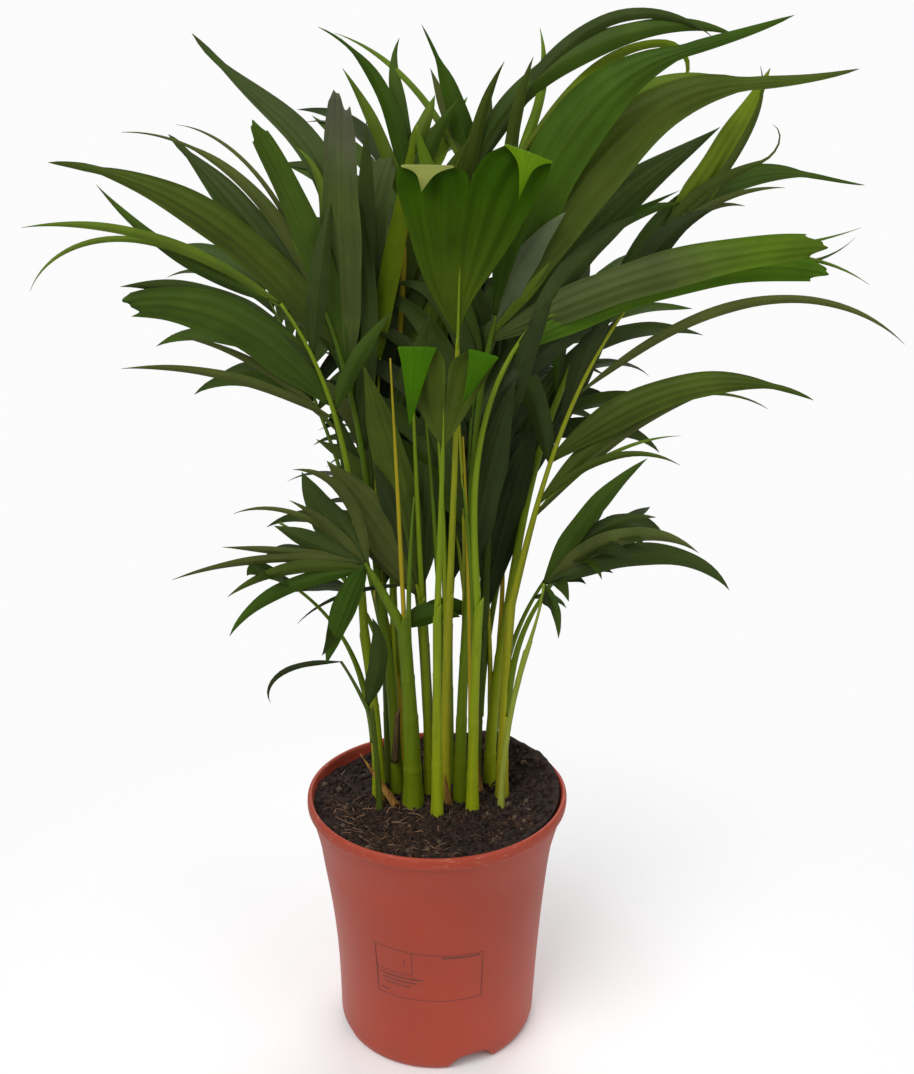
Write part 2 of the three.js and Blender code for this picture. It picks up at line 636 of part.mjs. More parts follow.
// Stalks first, each turned a little where it would run into another
const stalks = [];
for (const frond of fronds) {
  const others = [potBody, soilBody, ...caneBodies, ...stalks.map(({ body }) => body)];
  const turn = STALK_TURNS.find((candidate) => (
    !touches(stalkSolid(frond, stalkPoints(frond, candidate)), others)
  ));
  if (!turn) throw new Error(`no free way for the stalk of ${frond.name}`);
  const points = stalkPoints(frond, turn);
  stalks.push({ points, body: stalkSolid(frond, points) });
}

// Then the leaflets, each turned, shortened or left out where it would cross another frond
const blades = fronds.map(() => []);
fronds.forEach((frond, index) => {
  const others = [potBody, soilBody, ...caneBodies];
  stalks.forEach(({ body }, other) => {
    if (other !== index) others.push(body, ...blades[other]);
  });
  frond.leaflets.forEach((row, order) => {
    const [, , length, width] = row;
    const along = (frond.stalk + row[0] * frond.leafy) / (frond.stalk + frond.leafy);
    const { out } = frondPlane(frond.faces, mix(...frond.tilt, along));
    for (const turn of BLADE_TURNS) {
      const points = leafletPoints(frond, stalks[index].points, row, order, turn);
      const blade = bladeSolid(points, length * turn[2], width, out, frond.lobes);
      if (!touches(blade, others)) {
        blades[index].push(blade);
        return;
      }
    }
  });
});

const palm = new THREE.Group();

function addPart(name, solid, finish) {
  const material = new THREE.MeshStandardMaterial({ ...finish, metalness: 0 });
  const mesh = new THREE.Mesh(geometryOf(solid), material);
  mesh.name = name;
  palm.add(mesh);
}

addPart('pot', potBody, FINISHES.pot);
addPart('soil', soilBody, FINISHES.soil);
Object.keys(CANES).forEach((name, index) => addPart(`cane_${name}`, caneBodies[index], FINISHES.cane));
fronds.forEach((frond, index) => {
  const whole = blades[index].reduce((sum, blade) => sum.add(blade), stalks[index].body);
  addPart(frond.name, whole, FINISHES.leaf);
});

export default palm;
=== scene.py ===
"""Areca palm in a nursery pot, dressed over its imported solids.

Plans are in millimetres and degrees, as in the part's source. Meshes are made in metres, in the
frame of the solids: the origin is the middle of the pot's underside, +Z is up, -Y is the front.
"""

from __future__ import annotations

import logging
import math
from dataclasses import dataclass
from enum import Enum
from typing import Sequence, Union

import bpy
import numpy as np
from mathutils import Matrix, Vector, noise

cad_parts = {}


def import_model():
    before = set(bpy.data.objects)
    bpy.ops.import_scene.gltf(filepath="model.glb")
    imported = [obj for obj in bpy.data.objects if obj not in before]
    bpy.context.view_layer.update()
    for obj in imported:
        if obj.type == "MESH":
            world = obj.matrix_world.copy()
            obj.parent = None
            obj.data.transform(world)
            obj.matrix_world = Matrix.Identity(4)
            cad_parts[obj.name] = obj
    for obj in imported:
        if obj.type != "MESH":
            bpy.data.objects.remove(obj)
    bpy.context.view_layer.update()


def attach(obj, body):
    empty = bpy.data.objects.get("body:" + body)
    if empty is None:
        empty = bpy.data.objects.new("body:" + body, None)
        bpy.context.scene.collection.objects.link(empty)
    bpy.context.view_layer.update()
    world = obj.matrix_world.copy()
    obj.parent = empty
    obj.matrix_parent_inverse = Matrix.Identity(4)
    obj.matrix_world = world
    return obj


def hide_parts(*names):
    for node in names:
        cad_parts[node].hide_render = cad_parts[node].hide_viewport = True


LOG = logging.getLogger("areca_palm")
MM = 0.001

Colour = tuple[float, float, float]
Point = tuple[float, float, float]
Link = Union["Wire", float, Sequence[float]]


def srgb(red: float, green: float, blue: float) -> Colour:
    """Turn a colour on a screen, 0 to 255, into the linear one that a shader takes.

    Args:
        red: The red channel.
        green: The green channel.
        blue: The blue channel.

    Returns:
        The three linear channels, 0 to 1.
    """
    shares = [channel / 255 for channel in (red, green, blue)]
    linear = [part / 12.92 if part <= 0.04045 else ((part + 0.055) / 1.055) ** 2.4 for part in shares]
    return linear[0], linear[1], linear[2]


def brighter(colour: Colour, factor: float) -> Colour:
    """Return the colour with each channel times factor."""
    return colour[0] * factor, colour[1] * factor, colour[2] * factor


def mix(low: float, high: float, part: float | np.ndarray) -> float | np.ndarray:
    """Return what lies the given part, or each of the given parts, of the way from low to high."""
    return low + (high - low) * part


def share(number: float) -> float:
    """Return a steady pseudo-random share, 0 to 1, for a whole number."""
    turned = math.sin(number * 12.9898 + 4.1414) * 43758.5453
    return turned - math.floor(turned)


@dataclass(frozen=True)
class Wire:
    """A number, vector or colour on its way through a material's nodes."""

    board: "Board"
    socket: bpy.types.NodeSocket

    def __add__(self, other: Link) -> "Wire":
        """Return the sum."""
        return self.board.reckon("ADD", self, other)

    def __sub__(self, other: Link) -> "Wire":
        """Return the difference."""
        return self.board.reckon("SUBTRACT", self, other)

    def __mul__(self, other: Link) -> "Wire":
        """Return the product."""
        return self.board.reckon("MULTIPLY", self, other)

    def __pow__(self, other: Link) -> "Wire":
        """Return the power."""
        return self.board.reckon("POWER", self, other)

    def __rsub__(self, other: Link) -> "Wire":
        """Return the other value less this one."""
        return self.board.reckon("SUBTRACT", other, self)

    def __abs__(self) -> "Wire":
        """Return the size without its sign."""
        return self.board.reckon("ABSOLUTE", self)

    __radd__ = __add__
    __rmul__ = __mul__

    def sine(self) -> "Wire":
        """Return the sine of a number in radians."""
        return self.board.reckon("SINE", self)

    def ramp(self, low: float, high: float) -> "Wire":
        """Return how far the number has come from low to high, held to 0 and 1."""
        inputs = {"Value": self, "From Min": low, "From Max": high}
        return self.board.node("ShaderNodeMapRange", {"clamp": True}, inputs)


class Board:
    """One material and the nodes on it."""

    def __init__(self, name: str) -> None:
        """Start an empty material.

        Args:
            name: The material's name.
        """
        self.material = bpy.data.materials.new(name)
        self.material.use_nodes = True
        self.tree = self.material.node_tree
        self.tree.nodes.clear()

    def node(
        self,
        kind: str,
        settings: dict[str, object] | None = None,
        inputs: dict[str | int, Link] | None = None,
        output: str | int = 0,
    ) -> Wire:
        """Add a node, set it, feed it and return one of its outputs.

        Args:
            kind: The node's type.
            settings: Its own settings, or "stops" for a colour ramp, as (place, colour) pairs.
            inputs: Values or wires for its sockets, by name or number.
            output: The output to return, by name or number.

        Returns:
            The chosen output.
        """
        node = self.tree.nodes.new(kind)
        for name, value in (settings or {}).items():
            if name == "stops":
                self._set_stops(node.color_ramp.elements, value)
            else:
                setattr(node, name, value)
        for name, value in (inputs or {}).items():
            if isinstance(value, Wire):
                self.tree.links.new(value.socket, node.inputs[name])
            else:
                node.inputs[name].default_value = value
        return Wire(self, node.outputs[output])

    @staticmethod
    def _set_stops(elements: bpy.types.ColorRampElements, stops: Sequence) -> None:
        """Give a colour ramp its stops.

        Args:
            elements: The ramp's own stops.
            stops: The new ones, as (place, colour) pairs.
        """
        while len(elements) < len(stops):
            elements.new(1.0)
        for element, (place, colour) in zip(elements, stops):
            element.position = place
            element.color = (*colour, 1.0)

    def reckon(self, operation: str, first: Link, second: Link | None = None) -> Wire:
        """Add the Math or Vector Math node that works on one or two values.

        Args:
            operation: The node's operation.
            first: Its first value.
            second: Its second value, if it takes two.

        Returns:
            The result.
        """
        wires = [value for value in (first, second) if isinstance(value, Wire)]
        plural = any(wire.socket.type in {"RGBA", "VECTOR"} for wire in wires)
        inputs = {0: first} if second is None else {0: first, 1: second}
        if not plural:
            return self.node("ShaderNodeMath", {"operation": operation}, inputs)
        for key, value in inputs.items():
            if isinstance(value, (int, float)):
                inputs[key] = (value,) * 3
        return self.node("ShaderNodeVectorMath", {"operation": operation}, inputs)

    def blend(self, part: Link, first: Wire | Colour, second: Wire | Colour) -> Wire:
        """Mix two colours.

        Args:
            part: How much of the second, 0 to 1.
            first: The first colour.
            second: The second colour.

        Returns:
            The mixed colour.
        """
        inputs = {0: part}
        for socket, colour in {6: first, 7: second}.items():
            inputs[socket] = colour if isinstance(colour, Wire) else (*colour, 1.0)
        return self.node("ShaderNodeMix", {"data_type": "RGBA"}, inputs, 2)

    def parted(self, vector: Wire, axis: int) -> Wire:
        """Return one of a vector's three numbers."""
        return self.node("ShaderNodeSeparateXYZ", None, {0: vector}, axis)

    def place(self) -> Wire:
        """Return the place on the object, in metres."""
        return self.node("ShaderNodeTexCoord", output="Object")

    def weave(self) -> tuple[Wire, Wire]:
        """Return the place across a form, 0 to 1, and along it, in metres."""
        flat = self.node("ShaderNodeTexCoord", output="UV")
        return self.parted(flat, 0), self.parted(flat, 1)

    def speckle(self, scale: float, detail: float = 3.0, stretch: Colour = (1.0, 1.0, 1.0)) -> Wire:
        """Return a soft noise of 0 to 1: scale grains a metre, with a factor on each axis of the place."""
        where = self.place() * stretch if stretch != (1.0, 1.0, 1.0) else self.place()
        return self.node("ShaderNodeTexNoise", None, {"Vector": where, "Scale": scale, "Detail": detail})

    def relief(self, height: Wire, strength: float, depth: float) -> Wire:
        """Return the normal that a height bends, where a height of 1 is depth metres deep."""
        return self.node("ShaderNodeBump", None, {"Height": height, "Strength": strength, "Distance": depth})

    def surface(self, **inputs: Link) -> bpy.types.Material:
        """End the material in one Principled surface.

        Args:
            inputs: The surface's sockets, with an underscore for each space.

        Returns:
            The finished material.
        """
        named = {}
        for key, value in inputs.items():
            flat = not isinstance(value, (Wire, float, int)) and len(value) == 3
            named[key.replace("_", " ")] = (*value, 1.0) if flat else value
        skin = self.node("ShaderNodeBsdfPrincipled", None, named)
        end = self.tree.nodes.new("ShaderNodeOutputMaterial")
        self.tree.links.new(skin.socket, end.inputs["Surface"])
        return self.material


class Tone(Enum):
    """The greens that a leaflet can have; BRIGHT is a painted glow of light through the leaf, and GREY and
    SHEEN are painted sheen.
    """

    DEEP = (47, 59, 27)
    DARK = (55, 71, 26)
    MOSS = (77, 87, 38)
    MID = (60, 83, 20)
    FRESH = (55, 83, 12)
    # BRIGHT paints the glow of light shining through a leaflet into its colour.
    BRIGHT = (72, 108, 10)
    LIME = (108, 138, 30)
    LIGHT = (92, 116, 30)
    OLIVE = (69, 85, 23)
    GOLDEN = (98, 118, 8)
    # GREY and SHEEN paint a leaflet's grey-green sheen into its colour.
    GREY = (82, 86, 66)
    SHEEN = (92, 106, 76)
    RAGGED = (76, 104, 14)


@dataclass(frozen=True)
class LeafFinish:
    """A soft, pleated palm leaflet: streaked and veined along its length, and toned towards its base:
    darkened there as painted shade, unless it has a foot colour of its own.
    """

    name: str
    colour: tuple[int, int, int]
    foot: tuple[int, int, int] | None = None
    foot_low: float = 0.02
    foot_high: float = 0.085
    veins: float = 13.0
    rib: float = 0.05
    gloss: float = 0.12

    # SHADE paints shade on a leaflet's base: its colour darkened over the first SHADE_REACH metres from the
    # stalk.
    SHADE_REACH, SHADE = 0.09, 0.66
    CLOUDS, CLOUD_TINTS = 34, ((0.82, 0.8, 0.76), (1.2, 1.16, 1.1))
    STREAKS_ACROSS, STREAKS_ALONG, STREAK_DRIFT = 16, 22, 5
    STREAK_TINTS = ((0.88, 0.89, 0.9), (1.09, 1.08, 1.06))
    VEIN_SHARE, VEIN_LIGHT = 0.1, 1.6
    RIB_COLOUR = (128, 146, 38)
    SATIN, SATIN_SPREAD = 0.4, 0.14
    RELIEF = 0.0004

    def material(self) -> bpy.types.Material:
        """Lay the leaflet's colour, veins and relief.

        Returns:
            The leaflet's material.
        """
        board = Board(f"leaf_{self.name}")
        across, along = board.weave()
        from_rib = abs(across - 0.5) * 2
        colour = srgb(*self.colour)
        # Without a foot colour of its own, the base gets painted shade: the blade's colour darkened by
        # SHADE.
        foot = srgb(*self.foot) if self.foot else brighter(colour, self.SHADE)
        low, high = (self.foot_low, self.foot_high) if self.foot else (0.0, self.SHADE_REACH)
        body = board.blend(along.ramp(low, high), foot, colour)
        clouds = board.speckle(self.CLOUDS, 4)
        tint = board.blend(clouds.ramp(0.32, 0.68), *self.CLOUD_TINTS)
        aside = across * self.STREAKS_ACROSS
        parts = {0: aside, 1: along * self.STREAKS_ALONG, 2: clouds * self.STREAK_DRIFT}
        flat = board.node("ShaderNodeCombineXYZ", None, parts)
        streaks = board.node("ShaderNodeTexNoise", None, {"Vector": flat, "Scale": 1.0, "Detail": 2.0})
        blade = body * tint * board.blend(streaks.ramp(0.3, 0.7), *self.STREAK_TINTS)
        vein = (from_rib * (self.veins * math.pi)).sine() ** 2
        lined = board.blend(vein * self.VEIN_SHARE, blade, brighter(colour, self.VEIN_LIGHT))
        rib = 1 - from_rib.ramp(0.015, 0.07)
        ribbed = board.blend(rib * self.rib, lined, srgb(*self.RIB_COLOUR))
        grain = board.speckle(420, 2)
        height = vein * 0.4 + streaks * 0.4 + grain * 0.15 + rib * 0.4
        return board.surface(
            Base_Color=ribbed,
            Roughness=clouds * self.SATIN_SPREAD + self.SATIN,
            Normal=board.relief(height, 0.4, self.RELIEF),
            Specular_IOR_Level=self.gloss,
        )


class StemTone(Enum):
    """The colours that stems and leaf stalks have, low down and higher up."""

    GREEN = ((106, 122, 14), (82, 108, 18))
    LIME = ((144, 156, 22), (112, 134, 22))
    YELLOW = ((166, 162, 36), (138, 146, 28))
    GOLD = ((184, 154, 34), (158, 144, 28))
    DARK = ((76, 90, 24), (62, 80, 24))
    PALE = ((150, 158, 62), (122, 140, 42))


@dataclass(frozen=True)
class StemFinish:
    """A smooth green stem, streaked along its length and yellower near the soil."""

    tone: StemTone
    low: float = 0.16
    high: float = 0.36

    GRAIN = (620.0, 620.0, 22.0)
    STREAK_SHARE, STREAK_SHADE = 0.4, 0.6
    FRECKLE_SHARE, FRECKLE_COLOUR = 0.3, (64, 62, 26)

    def material(self) -> bpy.types.Material:
        """Lay the stem's colour, streaks and freckles.

        Returns:
            The stem's material.
        """
        board = Board(f"stem_{self.tone.name.lower()}")
        height = board.parted(board.place(), 2)
        foot, top = (srgb(*colour) for colour in self.tone.value)
        body = board.blend(height.ramp(self.low, self.high), foot, top)
        streaks = board.speckle(1.0, 3, self.GRAIN)
        dark = brighter(top, self.STREAK_SHADE)
        streaked = board.blend(streaks.ramp(0.35, 0.75) * self.STREAK_SHARE, body, dark)
        freckles = board.speckle(900, 2).ramp(0.66, 0.74)
        skin = board.blend(freckles * self.FRECKLE_SHARE, streaked, srgb(*self.FRECKLE_COLOUR))
        return board.surface(
            Base_Color=skin,
            Roughness=streaks * 0.2 + 0.36,
            Normal=board.relief(streaks, 0.35, 0.0004),
            Specular_IOR_Level=0.16,
        )


@dataclass(frozen=True)
class HuskFinish:
    """Dry leaf sheath: papery, fibrous and brown to orange."""

    name: str = "dry_husk"
    pale: tuple[int, int, int] = (176, 132, 62)
    dark: tuple[int, int, int] = (104, 66, 32)

    GRAIN = (900.0, 900.0, 60.0)

    def material(self) -> bpy.types.Material:
        """Lay the dry sheath's fibres.

        Returns:
            The dry sheath's material.
        """
        board = Board(self.name)
        fibres = board.speckle(1.0, 4, self.GRAIN)
        skin = board.blend(fibres.ramp(0.3, 0.7), srgb(*self.dark), srgb(*self.pale))
        return board.surface(
            Base_Color=skin,
            Roughness=0.78,
            Normal=board.relief(fibres, 0.6, 0.0005),
            Specular_IOR_Level=0.25,
        )


@dataclass(frozen=True)
class PotFinish:
    """Terracotta-coloured nursery plastic: satin, mottled a little, with pale scuffs along its lip that are
    partly a painted highlight.
    """

    body: tuple[int, int, int] = (162, 64, 45)
    # Pale lip colour: real scuffs, and a painted highlight along the lip.
    scuff_and_highlight: tuple[int, int, int] = (206, 140, 120)
    flow: tuple[int, int, int] = (150, 92, 80)
    dust: tuple[int, int, int] = (120, 78, 58)

    LIP_LOW, LIP_HIGH = 0.1585, 0.1625
    DUST_TOP = 0.02

    def material(self) -> bpy.types.Material:
        """Lay the pot's colour, flow marks, scuffs with their painted highlight, and dust.

        Returns:
            The pot's material.
        """
        board = Board("pot_plastic")
        height = board.parted(board.place(), 2)
        body = srgb(*self.body)
        clouds = board.speckle(14, 4)
        flow = board.speckle(1.0, 3, (90.0, 90.0, 9.0))
        base = board.blend(clouds.ramp(0.3, 0.7), brighter(body, 0.93), brighter(body, 1.07))
        drawn = board.blend(flow.ramp(0.5, 0.8) * 0.1, base, srgb(*self.flow))
        # The lip's pale marks are partly real scuffs and partly a painted highlight of the lip.
        rim = height.ramp(self.LIP_LOW, self.LIP_HIGH)
        scratch_and_highlight_mask = board.speckle(1.0, 5, (170.0, 170.0, 1500.0)).ramp(0.6, 0.72)
        worn = board.blend(rim * scratch_and_highlight_mask * 0.55, drawn, srgb(*self.scuff_and_highlight))
        dust = (1 - height.ramp(0.0, self.DUST_TOP)) * board.speckle(120, 4).ramp(0.45, 0.65)
        dusty = board.blend(dust * 0.35, worn, srgb(*self.dust))
        grain = board.speckle(700, 2)
        return board.surface(
            Base_Color=dusty,
            Roughness=clouds * 0.1 + flow * 0.08 + rim * scratch_and_highlight_mask * 0.2 + 0.34,
            Normal=board.relief(grain * 0.5 + flow * 0.8, 0.14, 0.0004),
            Specular_IOR_Level=0.24,
        )


@dataclass(frozen=True)
class PrintFinish:
    """The dark, thin print of the pot's plain panel."""

    colour: tuple[int, int, int] = (62, 36, 34)
    worn: tuple[int, int, int] = (118, 62, 52)

    def material(self) -> bpy.types.Material:
        """Lay the print, worn thin in places.

        Returns:
            The print's material.
        """
        board = Board("panel_print")
        wear = board.speckle(500, 3).ramp(0.35, 0.7)
        ink = board.blend(wear * 0.5, srgb(*self.colour), srgb(*self.worn))
        return board.surface(Base_Color=ink, Roughness=0.55)


@dataclass(frozen=True)
class EarthFinish:
    """Peat, bark or fibre: rough, crumbly, and of two colours."""

    name: str
    dark: tuple[int, int, int]
    pale: tuple[int, int, int]
    scale: float = 260.0

    def material(self) -> bpy.types.Material:
        """Lay the earth's clods and grit.

        Returns:
            The earth's material.
        """
        board = Board(self.name)
        clods = board.speckle(self.scale, 6)
        grit = board.speckle(self.scale * 5, 3)
        body = board.blend(clods.ramp(0.38, 0.66), srgb(*self.dark), srgb(*self.pale))
        skin = board.blend(grit.ramp(0.6, 0.75) * 0.5, body, brighter(srgb(*self.pale), 1.5))
        return board.surface(
            Base_Color=skin,
            Roughness=grit * 0.1 + 0.84,
            Normal=board.relief(clods * 0.7 + grit * 0.3, 0.8, 0.0012),
            Specular_IOR_Level=0.2,
        )


@dataclass(frozen=True)
class StageFinish:
    """The pale studio floor, which fades into the backdrop away from the pot."""

    brightness: float = 0.93
    near: float = 0.1
    far: float = 0.42

    def material(self) -> bpy.types.Material:
        """Lay the pale floor and its fading edge.

        Returns:
            The floor's material.
        """
        board = Board("studio_floor")
        place = board.place()
        east, north = board.parted(place, 0), board.parted(place, 1)
        reach = (east * east + north * north) ** 0.5
        clouds = board.speckle(3, 2)
        pale = (self.brightness,) * 3
        paper = board.blend(clouds, pale, brighter(pale, 0.985))
        return board.surface(
            Base_Color=paper,
            Roughness=0.9,
            Specular_IOR_Level=0.05,
            Alpha=1 - reach.ramp(self.near, self.far),
        )


class Bundle:
    """Gathers the corners and faces of many small forms, to be joined into one piece."""

    def __init__(self) -> None:
        """Start with nothing in it."""
        self.corners: list[np.ndarray] = []
        self.faces: list[list[int]] = []
        self.weave: list[np.ndarray] = []
        self.creases: list[np.ndarray] = []
        self.finishes: list[int] = []
        self.slots: list[bpy.types.Material] = []
        self.count = 0

    def add(
        self,
        corners: np.ndarray,
        faces: list[list[int]],
        material: bpy.types.Material,
        weave: np.ndarray | None = None,
        creases: np.ndarray | None = None,
    ) -> None:
        """Put one form in.

        Args:
            corners: Its corners, in millimetres, one a row.
            faces: The corners of each face, counted within the form.
            material: Its finish.
            weave: Each corner's place across and along the form.
            creases: A number for each corner; an edge between equal ones above 0 is sharp.
        """
        size = len(corners)
        if material not in self.slots:
            self.slots.append(material)
        self.corners.append(corners * MM)
        self.faces += [[corner + self.count for corner in face] for face in faces]
        self.weave.append(np.zeros((size, 2)) if weave is None else weave)
        self.creases.append(np.zeros(size, dtype=int) if creases is None else creases)
        self.finishes += [self.slots.index(material)] * len(faces)
        self.count += size

    def resume(self, faces: list[list[int]], first: int, material: bpy.types.Material) -> None:
        """Put more faces on a form that is already in.

        Args:
            faces: The corners of each face, counted within the form.
            first: The form's first corner in the bundle.
            material: Their finish.
        """
        if material not in self.slots:
            self.slots.append(material)
        self.faces += [[corner + first for corner in face] for face in faces]
        self.finishes += [self.slots.index(material)] * len(faces)

    def piece(self, name: str, slot: str, nodes: Sequence[str] = ()) -> bpy.types.Object:
        """Join everything into one object that rides with the plant.

        Args:
            name: The piece's name.
            slot: The record's material slot; not used.
            nodes: The solids that it stands for.

        Returns:
            The new object.
        """
        mesh = bpy.data.meshes.new(name)
        mesh.from_pydata(np.concatenate(self.corners).tolist(), [], self.faces)
        mesh.polygons.foreach_set("material_index", self.finishes)
        mesh.polygons.foreach_set("use_smooth", [True] * len(mesh.polygons))
        for material in self.slots:
            mesh.materials.append(material)
        weave = np.concatenate(self.weave)
        order = np.empty(len(mesh.loops), dtype=int)
        mesh.loops.foreach_get("vertex_index", order)
        layer = mesh.uv_layers.new(name="weave")
        layer.data.foreach_set("uv", weave[order].ravel())
        creases = np.concatenate(self.creases)
        ends = np.empty(len(mesh.edges) * 2, dtype=int)
        mesh.edges.foreach_get("vertices", ends)
        first, second = creases[ends[0::2]], creases[ends[1::2]]
        mesh.edges.foreach_set("use_edge_sharp", (first == second) & (first > 0))
        mesh.update()
        piece = bpy.data.objects.new(name, mesh)
        bpy.context.scene.collection.objects.link(piece)
        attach(piece, "root")
        if nodes:
            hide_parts(*nodes)
        LOG.info("%s: %d faces", name, len(mesh.polygons))
        return piece


def ring_faces(stations: int, ring: int, closed: bool = True) -> list[list[int]]:
    """Return the faces of a tube of rings, with a face over each end.

    Args:
        stations: How many rings there are.
        ring: How many corners each has.
        closed: Whether the two ends are covered.

    Returns:
        The corners of each face.
    """
    rows = np.arange(stations - 1)[:, None] * ring
    here = np.arange(ring)[None, :]
    after = (here + 1) % ring
    quads = np.stack([rows + here, rows + after, rows + ring + after, rows + ring + here], axis=-1)
    faces = quads.reshape(-1, 4).tolist()
    if closed:
        last = (stations - 1) * ring
        faces.append(list(range(ring))[::-1])
        faces.append(list(range(last, last + ring)))
    return faces


def unit(vectors: np.ndarray) -> np.ndarray:
    """Return the vectors, each with a length of 1."""
    return vectors / np.maximum(np.linalg.norm(vectors, axis=-1, keepdims=True), 1e-9)


def carried_frames(points: np.ndarray, face: np.ndarray) -> tuple[np.ndarray, np.ndarray, np.ndarray]:
    """Carry a direction along a path without letting it turn about the path.

    Args:
        points: The path's points.
        face: The direction that the surface faces at the start.

    Returns:
        At each point, the way ahead, the side to the right and the facing direction.
    """
    ways = unit(np.gradient(points, axis=0))
    normals = np.empty_like(ways)
    normal = face
    for index, way in enumerate(ways):
        normal = normal - way * float(normal @ way)
        normal = normal / max(float(np.linalg.norm(normal)), 1e-9)
        normals[index] = normal
    return ways, np.cross(ways, normals), normals


def resample(points: np.ndarray, count: int) -> np.ndarray:
    """Spread points evenly along a path's own parameter.

    Args:
        points: The path's points.
        count: How many points to return.

    Returns:
        The new points.
    """
    old = np.linspace(0, 1, len(points))
    new = np.linspace(0, 1, count)
    return np.stack([np.interp(new, old, points[:, axis]) for axis in range(3)], axis=1)


@dataclass(frozen=True)
class Tube:
    """A round form along a path, such as a stem, a stalk or a fibre."""

    points: np.ndarray
    radii: np.ndarray
    sides: int = 12
    ribs: float = 0.0
    rib_count: int = 9
    slant: float = 0.0

    SLANT_RINGS, SLANT_TURN = 4, 0.8

    def into(self, bundle: Bundle, material: bpy.types.Material) -> None:
        """Put the tube into a bundle.

        Args:
            bundle: What it goes into.
            material: Its finish.
        """
        ways, rights, fronts = carried_frames(self.points, np.array([0.31, -0.93, 0.2]))
        turn = -np.arange(self.sides) / self.sides * 2 * math.pi
        radii = self.radii[:, None] * (1 + self.ribs * np.sin(self.rib_count * turn)[None, :])
        cos, sin = np.cos(turn)[None, :, None], np.sin(turn)[None, :, None]
        around = rights[:, None] * cos + fronts[:, None] * sin
        corners = self.points[:, None] + around * radii[..., None]
        if self.slant:
            to_end = np.arange(len(self.points)) - len(self.points) + 1 + self.SLANT_RINGS
            late = np.clip(to_end / self.SLANT_RINGS, 0, 1)
            rise = np.sin(turn + self.SLANT_TURN)
            shift = self.slant * late[:, None] * rise[None, :] * self.radii[:, None]
            corners = corners + ways[:, None] * shift[..., None]
        lengths = np.concatenate([[0], np.cumsum(np.linalg.norm(np.diff(self.points, axis=0), axis=1))])
        across = np.abs(np.linspace(-1, 1, self.sides))[None, :]
        places = [np.broadcast_to(part, radii.shape) for part in (across, lengths[:, None] * MM)]
        weave = np.stack(places, axis=-1)
        faces = ring_faces(len(self.points), self.sides)
        bundle.add(corners.reshape(-1, 3), faces, material, weave.reshape(-1, 2))


@dataclass(frozen=True)
class Sheet:
    """A thin, closed skin over a grid of points, thickest at its middle and sharp along its edges."""

    grid: np.ndarray
    normals: np.ndarray
    thickness: float = 0.45
    keel: float = 0.5

    EDGE_SHARE, KEEL_WIDTH = 0.35, 0.16
    FULL_WIDTH, LEAST = 4.4, 0.06

    def into(
        self,
        bundle: Bundle,
        material: bpy.types.Material,
        tip: bpy.types.Material | None = None,
        turned: int = 0,
    ) -> None:
        """Put the sheet into a bundle.

        Args:
            bundle: What it goes into.
            material: The sheet's finish.
            tip: The finish past a row, where it has one of its own.
            turned: That row.
        """
        rows, cols = self.grid.shape[:2]
        spread = np.linspace(-1, 1, cols)
        wide = np.linalg.norm(self.grid[:, -1] - self.grid[:, 0], axis=1)
        depth = self.thickness * mix(self.EDGE_SHARE, 1.0, 1 - spread[1:-1] ** 2)
        depth = depth + self.keel * np.exp(-((spread[1:-1] / self.KEEL_WIDTH) ** 2))
        slim = np.clip(wide / self.FULL_WIDTH, self.LEAST, 1)[:, None, None]
        below = self.grid[:, 1:-1] - self.normals[:, 1:-1] * depth[None, :, None] * slim
        rings = np.concatenate([self.grid, below[:, ::-1]], axis=1)
        ring = rings.shape[1]
        middle = self.grid[:, cols // 2]
        lengths = np.concatenate([[0], np.cumsum(np.linalg.norm(np.diff(middle, axis=0), axis=1))])
        sides = np.concatenate([spread, spread[1:-1][::-1]]) / 2 + 0.5
        places = [np.broadcast_to(part, (rows, ring)) for part in (sides, lengths[:, None] * MM)]
        weave = np.stack(places, axis=-1)
        codes = np.zeros(ring, dtype=int)
        codes[0], codes[cols - 1] = 1, 2
        faces = ring_faces(rows, ring, closed=False)
        end = [[c, c + 1, ring - c - 1, ring - c] for c in range(1, cols - 2)]
        end += [[0, 1, ring - 1], [cols - 2, cols - 1, cols]]
        start = [face[::-1] for face in end]
        end = [[corner + (rows - 1) * ring for corner in face] for face in end]
        flat, woven, creased = rings.reshape(-1, 3), weave.reshape(-1, 2), np.tile(codes, rows)
        if tip is None:
            bundle.add(flat, faces + start + end, material, woven, creased)
            return
        split = turned * ring
        first = bundle.count
        bundle.add(flat, faces[:split] + start, material, woven, creased)
        bundle.resume(faces[split:] + end, first, tip)


